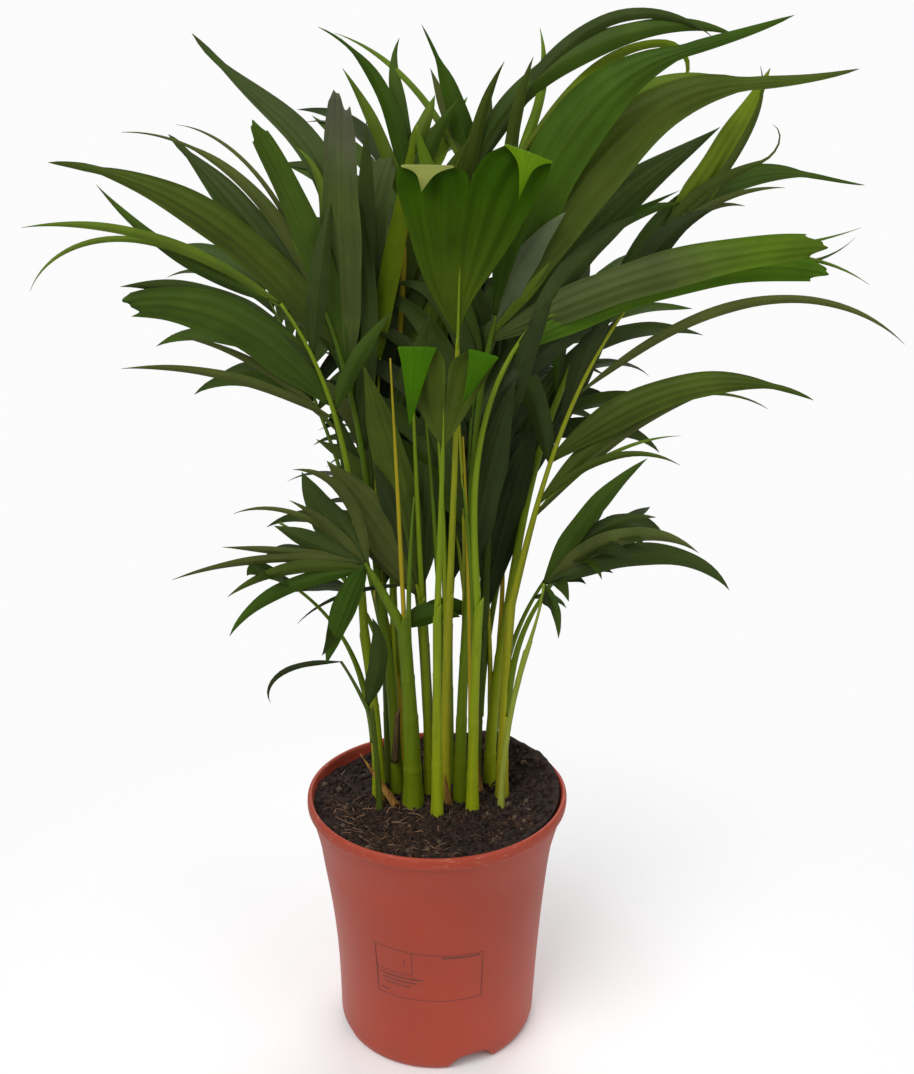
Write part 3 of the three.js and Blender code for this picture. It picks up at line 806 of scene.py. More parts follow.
@dataclass(frozen=True)
class Blade:
    """A leaf blade along its midrib: folded down from it, pleated and rolled."""

    points: np.ndarray
    halves: np.ndarray
    face: np.ndarray
    rolls: np.ndarray
    across: int = 9
    fold: float = 0.3
    pleats: int = 0
    pleat_depth: float = 0.05
    torn: float | None = None

    FOLD_POWER = 1.2
    TEAR = 0.06
    RIPS = ((0.45, 2.9, 6, 0.0), (0.14, 8, 9, math.pi / 2))

    def sheet(self) -> Sheet:
        """Fold, pleat and roll the blade round its midrib, and tear its tip where it has a torn one.

        Returns:
            The blade's skin.
        """
        _, rights, fronts = carried_frames(self.points, self.face)
        cos, sin = np.cos(self.rolls)[:, None], np.sin(self.rolls)[:, None]
        rights, fronts = rights * cos + fronts * sin, fronts * cos - rights * sin
        spread = np.linspace(-1, 1, self.across)
        lift = -self.fold * np.abs(spread) ** self.FOLD_POWER
        if self.pleats:
            lift = lift + self.pleat_depth * np.cos(spread * math.pi * 2 * self.pleats)
        aside = rights[:, None] * spread[None, :, None] + fronts[:, None] * lift[None, :, None]
        grid = self.points[:, None] + self.halves[:, None, None] * aside
        if self.torn is not None:
            rips = np.zeros_like(spread)
            for deep, fine, chance, late in self.RIPS:
                rips = rips + deep * np.sin(fine * spread + self.torn * chance + late)
            old = np.linspace(0, 1, len(grid))
            whole = grid.copy()
            for column, reach in enumerate(1 - self.TEAR * (0.5 + rips)):
                for axis in range(3):
                    grid[:, column, axis] = np.interp(old * reach, old, whole[:, column, axis])
        return Sheet(grid, np.broadcast_to(fronts[:, None], grid.shape))


@dataclass(frozen=True)
class Leaflet:
    """One leaflet: its place on the leafy stretch, heading, length, width and bend."""

    place: float
    heading: float
    length: float
    width: float
    bend: float
    tone: Tone | None = None
    flick: float = 0.0
    tail: float = 0.0
    blunt: bool = False
    roll: float | None = None
    power: float | None = None


@dataclass(frozen=True)
class Cane:
    """One stem: foot, fork and the radius at each."""

    foot: tuple[float, float]
    fork: tuple[float, float, float]
    radius: tuple[float, float]
    tone: StemTone = StemTone.GREEN

    SOIL_TOP, GAP = 156.0, 0.3
    SWELL, SWELL_REACH = 0.18, 0.12

    def point(self, along: float) -> np.ndarray:
        """Find a point of the stem, which rises upright from its foot and then leans to its fork.

        Args:
            along: The share of the stem's path.

        Returns:
            The point.
        """
        start = np.array([*self.foot, self.SOIL_TOP + self.GAP])
        end = np.array(self.fork, dtype=float)
        bend = np.array([*self.foot, (start[2] + end[2]) / 2])
        return start * (1 - along) ** 2 + bend * 2 * along * (1 - along) + end * along**2

    def end_way(self) -> np.ndarray:
        """Return the direction in which the stem ends."""
        return unit(self.point(1.0) - self.point(0.999))

    def thickness(self, along: float) -> float:
        """Return the radius at a share of the stem's path."""
        return mix(*self.radius, along) * (1 + self.SWELL * max(0.0, 1 - along / self.SWELL_REACH))


DEEP, DARK, MOSS, MID, FRESH, BRIGHT = Tone.DEEP, Tone.DARK, Tone.MOSS, Tone.MID, Tone.FRESH, Tone.BRIGHT
LIME, LIGHT, OLIVE, GOLDEN = Tone.LIME, Tone.LIGHT, Tone.OLIVE, Tone.GOLDEN
GREY, SHEEN, RAGGED = Tone.GREY, Tone.SHEEN, Tone.RAGGED

CANES = {
    "a": Cane((-38, 10), (-45, 10, 274), (4.4, 2.9), StemTone.LIME),
    "b": Cane((-26, 14), (-35, 14, 297), (4.2, 2.7), StemTone.GREEN),
    "c": Cane((-15, 1), (-19, -8, 285), (6.6, 3.8), StemTone.GREEN),
    "d": Cane((-5, 14), (-8, 6, 292), (3.2, 2.2), StemTone.LIME),
    "e": Cane((1, -13), (2, -26, 300), (3.8, 2.2), StemTone.LIME),
    "f": Cane((6, 4), (9, -7, 300), (3.8, 2.3), StemTone.YELLOW),
    "g": Cane((16, 4), (21, 1, 300), (4.4, 2.7), StemTone.GREEN),
    "h": Cane((24, -7), (27, -17, 300), (4.0, 2.5), StemTone.LIME),
    "i": Cane((27, 22), (32, 36, 266), (3.6, 2.6), StemTone.DARK),
    "j": Cane((36, 27), (45, 34, 267), (4.4, 3.0), StemTone.LIME),
    "k": Cane((44, 11), (48, 12, 292), (4.2, 2.7), StemTone.YELLOW),
    "l": Cane((43, -4), (57, -6, 268), (2.2, 1.6), StemTone.PALE),
    "m": Cane((8, 30), (8, 45, 285), (4.4, 2.8), StemTone.GREEN),
    "n": Cane((-22, 32), (-38, 44, 288), (4.0, 2.7), StemTone.GOLD),
    "o": Cane((-32, 26), (-34, 29, 285), (3.4, 2.4), StemTone.DARK),
    "p": Cane((-5, 44), (-9, 62, 262), (4.2, 2.8), StemTone.GREEN),
    "q": Cane((-37, -5), (-40, -9, 225), (2.2, 1.6), StemTone.DARK),
}


class Side(Enum):
    """The part of the crown that a frond belongs to."""

    WEST = "west"
    MIDDLE = "middle"
    EAST = "east"
    LOW = "low"
    BACK = "back"


def frond_plane(faces: float, tilt: float) -> tuple[np.ndarray, np.ndarray, np.ndarray]:
    """Return a frond's own directions: to its right, up along it, and out of its face.

    Args:
        faces: The compass bearing that it faces, in degrees.
        tilt: How far it leans out that way, in degrees.

    Returns:
        The three directions.
    """
    bearing, lean = math.radians(faces), math.radians(tilt)
    level = np.array([math.cos(bearing), math.sin(bearing), 0.0])
    right = np.array([-level[1], level[0], 0.0])
    upright = np.array([0.0, 0.0, 1.0])
    up = upright * math.cos(lean) + level * math.sin(lean)
    out = level * math.cos(lean) - upright * math.sin(lean)
    return right, up, out


def step_shares(steps: int) -> np.ndarray:
    """Return the share of the way at the middle of each step."""
    return (np.arange(steps) + 0.5) / steps


def walk(
    start: np.ndarray, length: float, faces: float, headings: np.ndarray, nods: np.ndarray, tilts: np.ndarray
) -> np.ndarray:
    """Walk along a stalk or a leaflet that heads off from upright and nods out of its plane.

    Args:
        start: The first point.
        length: How far to walk.
        faces: The frond's bearing.
        headings: The heading on each step, in degrees.
        nods: The nod on each step.
        tilts: The frond's tilt on each step.

    Returns:
        The points, one more than there are steps.
    """
    points = [np.array(start, dtype=float)]
    for turn, drop, tilt in zip(np.radians(headings), np.radians(nods), tilts):
        right, up, out = frond_plane(faces, tilt)
        way = up * math.cos(turn) + right * math.sin(turn)
        way = way * math.cos(drop) + out * math.sin(drop)
        points.append(points[-1] + way * (length / len(tilts)))
    return np.array(points)


@dataclass(frozen=True)
class Frond:
    """A stalk and its leaflets, flat like a pressed frond, turned and tilted as the source has it."""

    name: str
    cane: str
    faces: float
    tilt: tuple[float, float]
    lean: tuple[float, float]
    stalk: float
    leafy: float
    leaflets: tuple[Leaflet, ...]
    side: Side = Side.MIDDLE
    at: float = 1.0
    nod: float = 0.0
    tones: tuple[Tone, ...] = (DEEP, DARK, MID)
    stem: StemTone = StemTone.GREEN

    WALK_STEPS, BLADE_STEPS = 20, 32
    LEAN_POWER, SLIM = 2.2, 0.58
    TIP_RADIUS, SIDE_RADIUS = 0.9, 2.1
    RUFFLE, NOD_AT_TIP, BEND_SPREAD = 9.0, 1.6, 90.0
    FLICK_FROM, FLICK_POWER = 0.7, 1.5
    HUG, HUG_POWER, SUNK = 42.0, 1.6, 0.25

    def start(self) -> tuple[np.ndarray, float]:
        """Find where the stalk leaves its stem: at its fork, or at its side.

        Returns:
            The point, and how thick the stalk is there.
        """
        cane = CANES[self.cane]
        right, up, out = frond_plane(self.faces, self.tilt[0])
        lean = math.radians(self.lean[0])
        way = up * math.cos(lean) + right * math.sin(lean)
        if self.at == 1.0:
            turn = math.acos(max(-1.0, min(1.0, float(way @ cane.end_way()))))
            return cane.point(1.0) + way * (cane.GAP + cane.radius[1] * math.sin(turn)), cane.radius[1]
        level = unit(np.array([out[0], out[1], 0.0]))
        aside = cane.thickness(self.at) + self.SIDE_RADIUS + cane.GAP
        return cane.point(self.at) + level * aside, self.SIDE_RADIUS

    def stalk_points(self) -> np.ndarray:
        """Walk along the stalk.

        Returns:
            Its points, from its foot to its tip.
        """
        parts = step_shares(self.WALK_STEPS)
        headings, tilts = mix(*self.lean, parts**self.LEAN_POWER), mix(*self.tilt, parts)
        return walk(self.start()[0], self.stalk + self.leafy, self.faces, headings, parts * 0, tilts)

    def thickness(self, along: float) -> float:
        """Taper the stalk, first to its lowest leaflet and then to its tip.

        Args:
            along: The share of the stalk's length.

        Returns:
            The radius there.
        """
        radius = self.start()[1]
        slim = radius * self.SLIM
        neck = self.stalk / (self.stalk + self.leafy)
        if along < neck:
            return mix(radius, slim, along / neck)
        return mix(slim, self.TIP_RADIUS, (along - neck) / (1 - neck))

    def hugging_foot(self, count: int = 9) -> np.ndarray:
        """Find how a side stalk rises out of its stem, below where it leaves it.

        Args:
            count: How many points to return.

        Returns:
            The points.
        """
        cane = CANES[self.cane]
        height = float(np.linalg.norm(cane.point(1.0) - cane.point(0.0)))
        start = self.start()[0]
        aside = start - cane.point(self.at)
        points = []
        for step in range(count):
            part = step / count
            below = cane.point(max(0.05, self.at - (1 - part) * self.HUG / height))
            points.append(below + aside * mix(self.SUNK, 1.0, part**self.HUG_POWER))
        return np.array(points)

    def leaflet_points(
        self, stalk: np.ndarray, leaflet: Leaflet, order: int
    ) -> tuple[np.ndarray, np.ndarray]:
        """Walk along a leaflet's midrib, which bends, nods, and flicks to one side near its tip.

        Args:
            stalk: The stalk's points.
            leaflet: The leaflet.
            order: Its number on the frond.

        Returns:
            The points, and the way that the leaflet faces.
        """
        whole = self.stalk + self.leafy
        along = min(0.999, (self.stalk + leaflet.place * self.leafy) / whole)
        step = int(along * self.WALK_STEPS)
        start = stalk[step] + (stalk[step + 1] - stalk[step]) * (along * self.WALK_STEPS - step)
        drop = math.copysign(1.0, leaflet.heading) * leaflet.bend
        power = leaflet.power or 1 + abs(leaflet.bend) / self.BEND_SPREAD
        nod = self.nod + self.RUFFLE * (1 if order % 2 == 0 else -1)
        tilt = mix(*self.tilt, along)
        parts = step_shares(self.BLADE_STEPS)
        late = np.clip((parts - self.FLICK_FROM) / (1 - self.FLICK_FROM), 0, 1)
        headings = leaflet.heading + drop * parts**power + leaflet.flick * late**self.FLICK_POWER
        nods, tilts = self.NOD_AT_TIP * nod * parts, np.full(len(parts), tilt)
        points = walk(start, leaflet.length, self.faces, headings, nods, tilts)
        return points, frond_plane(self.faces, tilt)[2]


BLADE_FOOT, BLADE_RISE, BLADE_FALL = 0.16, 0.34, 0.42
BLADE_POINT, THREAD_POINT = 1.9, 2.1
BLUNT_LOSS, THREAD_WIDTH, THREAD_POWER = 0.55, 0.2, 0.6


def outline(along: np.ndarray, tail: float, blunt: bool) -> np.ndarray:
    """Return a blade's half-width at shares of its length, as a share of its greatest.

    Args:
        along: The shares of the length.
        tail: The share of the length that is drawn out to a thread.
        blunt: Whether the blade ends in a broad, torn tip.

    Returns:
        The half-widths.
    """
    main = np.clip(along / (1 - tail), 0, 1)
    rising = mix(BLADE_FOOT, 1.0, np.sin(np.clip(main / BLADE_RISE, 0, 1) * math.pi / 2))
    late = np.clip((main - BLADE_FALL) / (1 - BLADE_FALL), 0, 1)
    if blunt:
        return rising * (1 - BLUNT_LOSS * late**3)
    if not tail:
        return rising * (1 - late**BLADE_POINT)
    thread = THREAD_WIDTH * np.clip((1 - along) / max(tail, 0.05), 0, 1) ** THREAD_POWER
    return np.maximum(rising * (1 - late**THREAD_POINT), thread)


@dataclass(frozen=True)
class Fan:
    """The rule by which a filling frond's leaflets grow: even pairs, with a finer pair between each two."""

    pairs: int
    longest: float
    width: float
    foot: float = 58.0
    tip: float = 16.0

    NOD = 16.0
    SWELL_FROM, SWELL_SPAN, SHRINK = 0.15, 0.75, 0.22
    STAGGER, SWING = 0.06, 10.0
    BEND, BEND_SPREAD, BEND_LEAN = 40.0, 60.0, 0.3
    FLICK = 50.0
    LENGTH, LENGTH_SPREAD = 0.94, 0.16
    WIDTH, WIDTH_SPREAD, SLIMMING = 0.85, 0.2, 0.7

    def frond(
        self,
        name: str,
        index: int,
        short: dict[int, float] | None = None,
        bare: Sequence[int] = (),
        **plan: object,
    ) -> Frond:
        """Plan a frond by this rule.

        Args:
            name: The frond's name.
            index: Its number, which seeds its scatter.
            short: The share of its length that a leaflet keeps, for those that are shorter.
            bare: The numbers of the leaflets that the frond lacks.
            plan: The rest of the frond's plan.

        Returns:
            The frond.
        """
        leaflets = []
        for order in range(2 * (2 * self.pairs - 1)):
            half, side = order // 2, 2 * (order % 2) - 1
            along = half / 2 / (self.pairs - 1)
            swell = math.sin(math.pi * (self.SWELL_FROM + self.SWELL_SPAN * along))
            length = self.longest * (1 - self.SHRINK * (1 - swell))
            seed = index * 100 + (half // 2) * 10 + side + 5 * (half % 2)
            chance = share(seed) - 0.5
            heading = side * (mix(self.foot, self.tip, along) + self.SWING * chance)
            place = min(1.0, along + (self.STAGGER if side > 0 else 0.0))
            bend = self.BEND + self.BEND_SPREAD * (share(seed + 3) - self.BEND_LEAN)
            flick = self.FLICK * (share(seed + 4) - 0.5)
            kept = (short or {}).get(order, 1.0)
            size = length * (self.LENGTH + self.LENGTH_SPREAD * chance) * kept
            wide = self.width * (self.WIDTH + self.WIDTH_SPREAD * chance) * kept**self.SLIMMING
            if order not in bare:
                leaflets.append(Leaflet(place, heading, size, wide, bend, flick=flick))
        return Frond(name, nod=self.NOD, leaflets=tuple(leaflets), **plan)


PHOTOGRAPHED = (
    Frond(
        "west_low", "a", 285, (0, 6), (-2, -34), 130, 90, side=Side.WEST, stem=StemTone.LIME,
        leaflets=(
            Leaflet(0.14, -58, 130, 6, 31, MOSS), Leaflet(0.04, -40, 116, 5, 43, MOSS),
            Leaflet(0.52, -45, 124, 14, 47, DARK), Leaflet(0.95, -54, 161, 4, 107, LIGHT, 4),
            Leaflet(1.0, -53, 146, 6, 43, LIGHT), Leaflet(1.0, -69, 117, 8, -31, MID),
            Leaflet(0.2, 20, 70, 10, 20), Leaflet(0.6, 5, 90, 12, 10),
            Leaflet(0.26, -39, 138, 25, 57, MID, blunt=True),
        ),
    ),
    Frond(
        "west_high", "b", 255, (0, 6), (-4, -28), 125, 105, side=Side.WEST,
        leaflets=(
            Leaflet(0.35, -38, 201, 24, 47, OLIVE, tail=0.1),
            Leaflet(0.44, -36, 153, 22, 16, DARK, tail=0.06),
            Leaflet(0.52, -21, 164, 9, 70, MOSS, tail=0.2), Leaflet(0.58, -18, 148, 3, 69, MOSS),
            Leaflet(0.05, -7, 167, 19, 18, MID, blunt=True),
            Leaflet(-0.26, 3, 286, 21, -125, DARK, 76, 0.05),
            Leaflet(0.19, 0, 162, 25, 9, GREY, blunt=True), Leaflet(0.73, 20, 82, 8, -77, LIGHT),
        ),
    ),
    Frond(
        "north_west", "o", 268, (0, 0), (-3, -2), 140, 60, side=Side.WEST, stem=StemTone.DARK,
        leaflets=(
            Leaflet(0.62, 3, 124, 12, 0, GREY), Leaflet(0.48, -5, 117, 24, -30, GREY, blunt=True),
            Leaflet(0.03, 12, 161, 12, 0, GOLDEN), Leaflet(-0.52, -2, 131, 15, 6, DARK),
            Leaflet(-1.2, 14, 130, 20, 5, DARK), Leaflet(-0.8, 3, 120, 16, 12, DEEP),
            Leaflet(-2.1, 12, 130, 20, 5, DEEP), Leaflet(-1.9, -12, 110, 18, 8, DARK),
        ),
    ),
    Frond(
        "gold", "n", 270, (0, 0), (6, 2), 235, 40, stem=StemTone.GOLD,
        leaflets=(
            Leaflet(0.52, -5, 109, 10, 63, FRESH, tail=0.15), Leaflet(0.23, 1, 100, 11, -17, MID, 42),
            Leaflet(0.2, -14, 90, 8, 20, LIGHT), Leaflet(1.0, 28, 40, 9, -8, LIGHT),
            Leaflet(0.3, 18, 70, 10, 20, MID), Leaflet(0.21, 25, 77, 12, 8, LIME),
            Leaflet(-2.6, 14, 110, 20, 10, DARK),
            Leaflet(-5.1, 12, 130, 20, 8, OLIVE), Leaflet(-4.2, -10, 120, 18, 12, DARK),
            Leaflet(-1.8, -12, 120, 18, 12, DEEP), Leaflet(-1.2, 20, 110, 22, 5, OLIVE),
            Leaflet(-3.1, 8, 170, 26, 2, MOSS), Leaflet(-3.8, 16, 150, 24, 4, OLIVE),
        ),
    ),
    Frond(
        "crown", "m", 268, (0, 0), (3, 4), 220, 50,
        leaflets=(
            Leaflet(1.0, -13, 87, 13, 15, FRESH, tail=0.2), Leaflet(0.92, -22, 68, 9, 0, MOSS),
            Leaflet(1.0, 2, 184, 14, 93, MID, 21, power=0.57),
            Leaflet(-2.3, -11, 81, 16, 15, SHEEN, 16, power=3),
            Leaflet(0.31, -2, 100, 9, -33, OLIVE), Leaflet(0.85, -25, 123, 4, 47, LIGHT),
            Leaflet(0.3, 24, 60, 12, 10, MID), Leaflet(0.5, 8, 70, 14, 4, MOSS),
            Leaflet(0.19, -35, 76, 10, -26, LIME), Leaflet(-2.6, 16, 120, 20, -10, DARK),
            Leaflet(-4.2, 12, 140, 22, 8, DEEP), Leaflet(-3.9, -13, 140, 24, 10, OLIVE),
            Leaflet(-3.2, 2, 130, 22, 0, DEEP),
            Leaflet(-1.4, -14, 110, 18, 10, DEEP), Leaflet(-0.6, 20, 110, 16, 20, DARK),
            Leaflet(-0.9, 10, 100, 16, 8, DEEP), Leaflet(1.0, 33, 176, 9, 137, DARK, -39, power=3),
        ),
    ),
    Frond("heart", "f", 270, (6, 6), (2.4, 0.4), 161, 8, leaflets=(), stem=StemTone.YELLOW),
    Frond("fold", "e", 270, (4, 6), (2.2, 1.8), 103, 6, leaflets=(), stem=StemTone.LIME),
    Frond(
        "east_big", "g", 256, (0, 0), (1, 14), 165, 14, side=Side.EAST,
        leaflets=(
            Leaflet(1.0, 17, 237, 33, 121, FRESH, -67, 0.2, roll=6),
            Leaflet(0.99, 31, 250, 33, 146, OLIVE, -101, 0.2, roll=-5, power=3),
            Leaflet(-10.4, 9, 130, 20, 10, DEEP), Leaflet(-8.4, -14, 120, 18, 14, DARK),
            Leaflet(-6.5, 18, 130, 18, 10, DEEP),
            Leaflet(-0.04, 62, 196, 21, 26, RAGGED, blunt=True), Leaflet(0.39, 20, 81, 15, 29, SHEEN),
            Leaflet(0.24, 34, 101, 12, 9, LIGHT),
        ),
    ),
    Frond(
        "arc", "h", 280, (0, 0), (-4, 40), 150, 30, side=Side.EAST, stem=StemTone.LIME,
        leaflets=(
            Leaflet(0.4, 59, 190, 21, 43, BRIGHT, blunt=True), Leaflet(1.0, 34, 90, 14, 30, DARK),
            Leaflet(0.99, 65, 194, 5, 26, LIGHT, -23), Leaflet(0.99, 68, 218, 5, 42, MID, -60),
            Leaflet(1.0, 64, 203, 5, 43, LIGHT, 19),
            Leaflet(-0.6, 48, 120, 14, 20, DEEP),
        ),
    ),
    Frond(
        "north_east", "i", 275, (0, 0), (2, 4), 231, 60, side=Side.EAST, stem=StemTone.DARK,
        leaflets=(
            Leaflet(0.77, 0, 77, 8, 20, OLIVE), Leaflet(1.0, 30, 83, 6, -44, LIME),
            Leaflet(-0.2, 19, 140, 13, 8, MID), Leaflet(-0.6, 41, 143, 14, 56, MID, -10, power=2.34),
            Leaflet(-0.83, 36, 184, 20, 37, DARK, -20, power=3, roll=0),
            Leaflet(1.0, 36, 168, 6, 120, GOLDEN, 150),
            Leaflet(0.11, 25, 182, 14, 81, LIGHT), Leaflet(0.8, 29, 103, 9, 67, OLIVE),
            Leaflet(0.1, 20, 110, 12, 10, DARK), Leaflet(-1.8, 18, 130, 18, 15, DEEP),
            Leaflet(-1.2, -14, 120, 18, 10, DARK), Leaflet(-2.4, 22, 120, 18, 20, DARK),
            Leaflet(-3.6, 10, 140, 22, 6, DEEP), Leaflet(-3.3, -12, 130, 22, 10, DARK),
        ),
    ),
    Frond(
        "east_high", "j", 285, (0, 0), (8, 52), 195, 75, side=Side.EAST, stem=StemTone.LIME,
        leaflets=(
            Leaflet(-0.5, 0, 201, 15, 125, DARK, -68), Leaflet(1.0, 39, 130, 20, -7, GOLDEN),
            Leaflet(1.0, 47, 124, 6, -42, OLIVE, -37),
            Leaflet(0.35, 28, 224, 18, 99, MID, -31, 0.2, power=1.16),
            Leaflet(0.71, 42, 108, 5, 51, MOSS), Leaflet(0.6, 40, 101, 6, 63, MOSS),
            Leaflet(-0.5, -2, 158, 10, -135, FRESH, -70), Leaflet(-1.2, 20, 120, 16, 30, DEEP),
            Leaflet(1.0, 0, 111, 8, 82, OLIVE, -160, 0.2, power=0.42),
        ),
    ),
    Frond(
        "east_mid", "k", 262, (0, 0), (12, 36), 85, 125, side=Side.EAST, stem=StemTone.YELLOW,
        leaflets=(
            Leaflet(0.12, 50, 165, 19, 63, OLIVE, tail=0.1), Leaflet(-0.19, 38, 133, 7, 36, MOSS),
            Leaflet(0.46, 50, 203, 6, 84, MOSS), Leaflet(0.56, 12, 58, 13, -28, OLIVE),
            Leaflet(-0.11, 45, 97, 5, 72, OLIVE), Leaflet(-0.16, 42, 103, 3, 48, LIGHT),
            Leaflet(0.9, 18, 80, 14, 55, DEEP), Leaflet(-0.12, 38, 166, 10, 86, OLIVE, tail=0.2),
            Leaflet(0.3, 14, 100, 14, 10, DEEP), Leaflet(0.1, -12, 90, 14, 20, DARK),
        ),
    ),
    Frond(
        "low_east", "l", 258, (0, 0), (16, 4), 24, 25, side=Side.LOW, stem=StemTone.PALE,
        leaflets=(
            Leaflet(1.0, 25, 106, 12, 22, MID), Leaflet(1.0, 33, 84, 12, 64, DARK),
            Leaflet(1.0, 45, 106, 12, 77, MOSS), Leaflet(1.0, 62, 125, 14, 88, DARK),
            Leaflet(1.0, 150, 36, 6, 30, MID),
        ),
    ),
    Frond(
        "low_west", "c", 282, (0, 0), (-26, -28), 40, 10, side=Side.LOW,
        leaflets=(
            Leaflet(1.0, -78, 116, 6, 24, MOSS), Leaflet(1.0, -76, 86, 6, 12, MOSS),
            Leaflet(0.48, -77, 89, 9, 44, OLIVE), Leaflet(0.53, -94, 101, 10, 60, FRESH),
            Leaflet(0.96, -152, 67, 16, 9, FRESH), Leaflet(0.77, -41, 70, 21, -21, DARK),
            Leaflet(0.63, -6, 88, 7, 80, MOSS), Leaflet(0.9, -41, 91, 4, 73, MOSS),
            Leaflet(0.81, -35, 66, 6, 21, MOSS), Leaflet(0.9, -62, 60, 14, 5, DARK),
            Leaflet(-3.9, 62, 38, 15, 50, FRESH),
        ),
    ),
    Frond(
        "diagonal", "d", 275, (0, 0), (-10, -10), 8, 10, side=Side.LOW, stem=StemTone.LIME,
        leaflets=(
            Leaflet(0.47, -25, 106, 25, 13, MOSS), Leaflet(-0.89, -91, 85, 3, 51, DEEP),
            Leaflet(-0.61, 86, 42, 12, 30, FRESH), Leaflet(0.5, -4, 105, 24, 8, DARK),
            Leaflet(0.8, -14, 90, 14, 6, DEEP), Leaflet(0.2, -40, 70, 12, 10, MOSS),
            Leaflet(0.6, -9, 150, 24, 6, OLIVE), Leaflet(0.4, 3, 120, 20, 5, DARK),
        ),
    ),
    Frond(
        "low_thin", "q", 280, (0, 0), (-22, -30), 34, 10, side=Side.LOW, stem=StemTone.DARK,
        leaflets=(Leaflet(-2.6, 20, 66, 12, -40, DARK), Leaflet(1.0, -89, 64, 4, 117, DEEP)),
    ),
)

FILLING = (
    Fan(5, 130, 15).frond(
        "back_tall", 0, cane="p",
        faces=95, tilt=(16, 30), lean=(0, 4), stalk=190, leafy=110, side=Side.BACK,
    ),
    Fan(5, 130, 15).frond(
        "back_mid", 1, cane="m", at=0.86,
        faces=80, tilt=(17, 50), lean=(0, 2), stalk=115, leafy=105, side=Side.BACK,
    ),
    Fan(5, 104, 15).frond(
        "back_west", 2, {5: 0.7}, (1,), cane="n", at=0.86,
        faces=130, tilt=(18, 42), lean=(0, 4), stalk=135, leafy=105, side=Side.BACK,
    ),
    Fan(5, 108, 15).frond(
        "back_east", 3, {4: 0.5, 6: 0.7}, cane="i", at=0.86,
        faces=60, tilt=(17, 42), lean=(0, -4), stalk=145, leafy=105, side=Side.BACK,
    ),
    Fan(4, 115, 14).frond(
        "back_low", 4, {3: 0.7, 5: 0.8, 9: 0.6, 11: 0.8}, (7,), cane="p", at=0.78,
        faces=105, tilt=(22, 66), lean=(0, 3), stalk=80, leafy=85, side=Side.BACK,
    ),
    Fan(4, 66, 13).frond(
        "back_low_west", 5, {4: 0.6}, range(6, 14), cane="n", at=0.62,
        faces=160, tilt=(12, 64), lean=(0, 3), stalk=55, leafy=70, side=Side.BACK,
    ),
    Fan(4, 64, 13).frond(
        "back_low_east", 6, {0: 0.5, 2: 0.7, 4: 0.7, 9: 0.5, 11: 0.7}, (1, 3, 5, 7, 12, 13), cane="j",
        at=0.72, faces=30, tilt=(12, 64), lean=(0, -3), stalk=55, leafy=70, side=Side.BACK,
    ),
    Fan(3, 58, 12).frond(
        "side_west", 7, None, (0, 2, 3, 4, 5, 6), cane="a", at=0.72,
        faces=200, tilt=(12, 50), lean=(0, 3), stalk=40, leafy=50, side=Side.LOW,
    ),
    Fan(3, 54, 12).frond(
        "side_east", 8, {0: 0.8, 2: 0.7}, cane="k", at=0.76,
        faces=345, tilt=(12, 50), lean=(0, -3), stalk=45, leafy=50, side=Side.LOW,
    ),
    Fan(4, 115, 16, 26, 6).frond(
        "inner_west", 9, {1: 0.6, 3: 0.6}, cane="b", at=0.9,
        faces=85, tilt=(3, 10), lean=(0, 6), stalk=50, leafy=90, tones=(OLIVE, MOSS, DARK),
    ),
    Fan(4, 118, 16, 26, 6).frond(
        "inner_east", 10, cane="g", at=0.9,
        faces=95, tilt=(3, 10), lean=(0, -9), stalk=55, leafy=95,
    ),
    Fan(4, 120, 16, 28, 6).frond(
        "inner_back", 11, cane="m", at=0.66,
        faces=110, tilt=(15, 14), lean=(0, 0), stalk=80, leafy=100,
    ),
)


TWO_TONED = (
    (Tone.RAGGED, (66, 76, 36), 0.11, 0.16),
    (Tone.GREY, (66, 80, 32), 0.11, 0.15),
)


@dataclass(frozen=True)
class Petiole:
    """A thin stalk that rises beside its stem into the crown, and carries no leaflets of its own."""

    cane: Cane
    seed: int
    second: int
    reach: float

    TOP, DROP, SCATTER, STEP = 0.94, 0.5, 0.2, 0.05
    SHORTEST, LONGEST = 105.0, 170.0
    LEAN, SPREAD, SUNK = 0.13, 500.0, 0.58
    STATIONS, BOW = 30, 1.6
    TAPER = ((0, 0.1, 0.6, 1), (1.2, 1.7, 1.25, 0.5))

    def tube(self) -> Tube:
        """Shape the stalk.

        Returns:
            Its tube.
        """
        seed = self.seed
        along = self.TOP - self.DROP * self.second - self.SCATTER * share(seed + 4)
        way = unit(self.cane.point(along) - self.cane.point(along - self.STEP))
        lean = np.array([share(seed) - 0.5, share(seed + 1) - 0.35, 0.0]) * self.LEAN
        lean[0] -= self.cane.foot[0] / self.SPREAD
        length = mix(self.SHORTEST, self.LONGEST, share(seed + 2)) + self.reach * self.second
        start = self.cane.point(along) + unit(lean + 1e-6) * self.cane.thickness(along) * self.SUNK
        parts = np.linspace(0, 1, self.STATIONS)
        points = start + np.outer(parts * length, way) + np.outer(parts**self.BOW * length, lean)
        return Tube(points, np.interp(parts, *self.TAPER), 9, 0.08, 2)


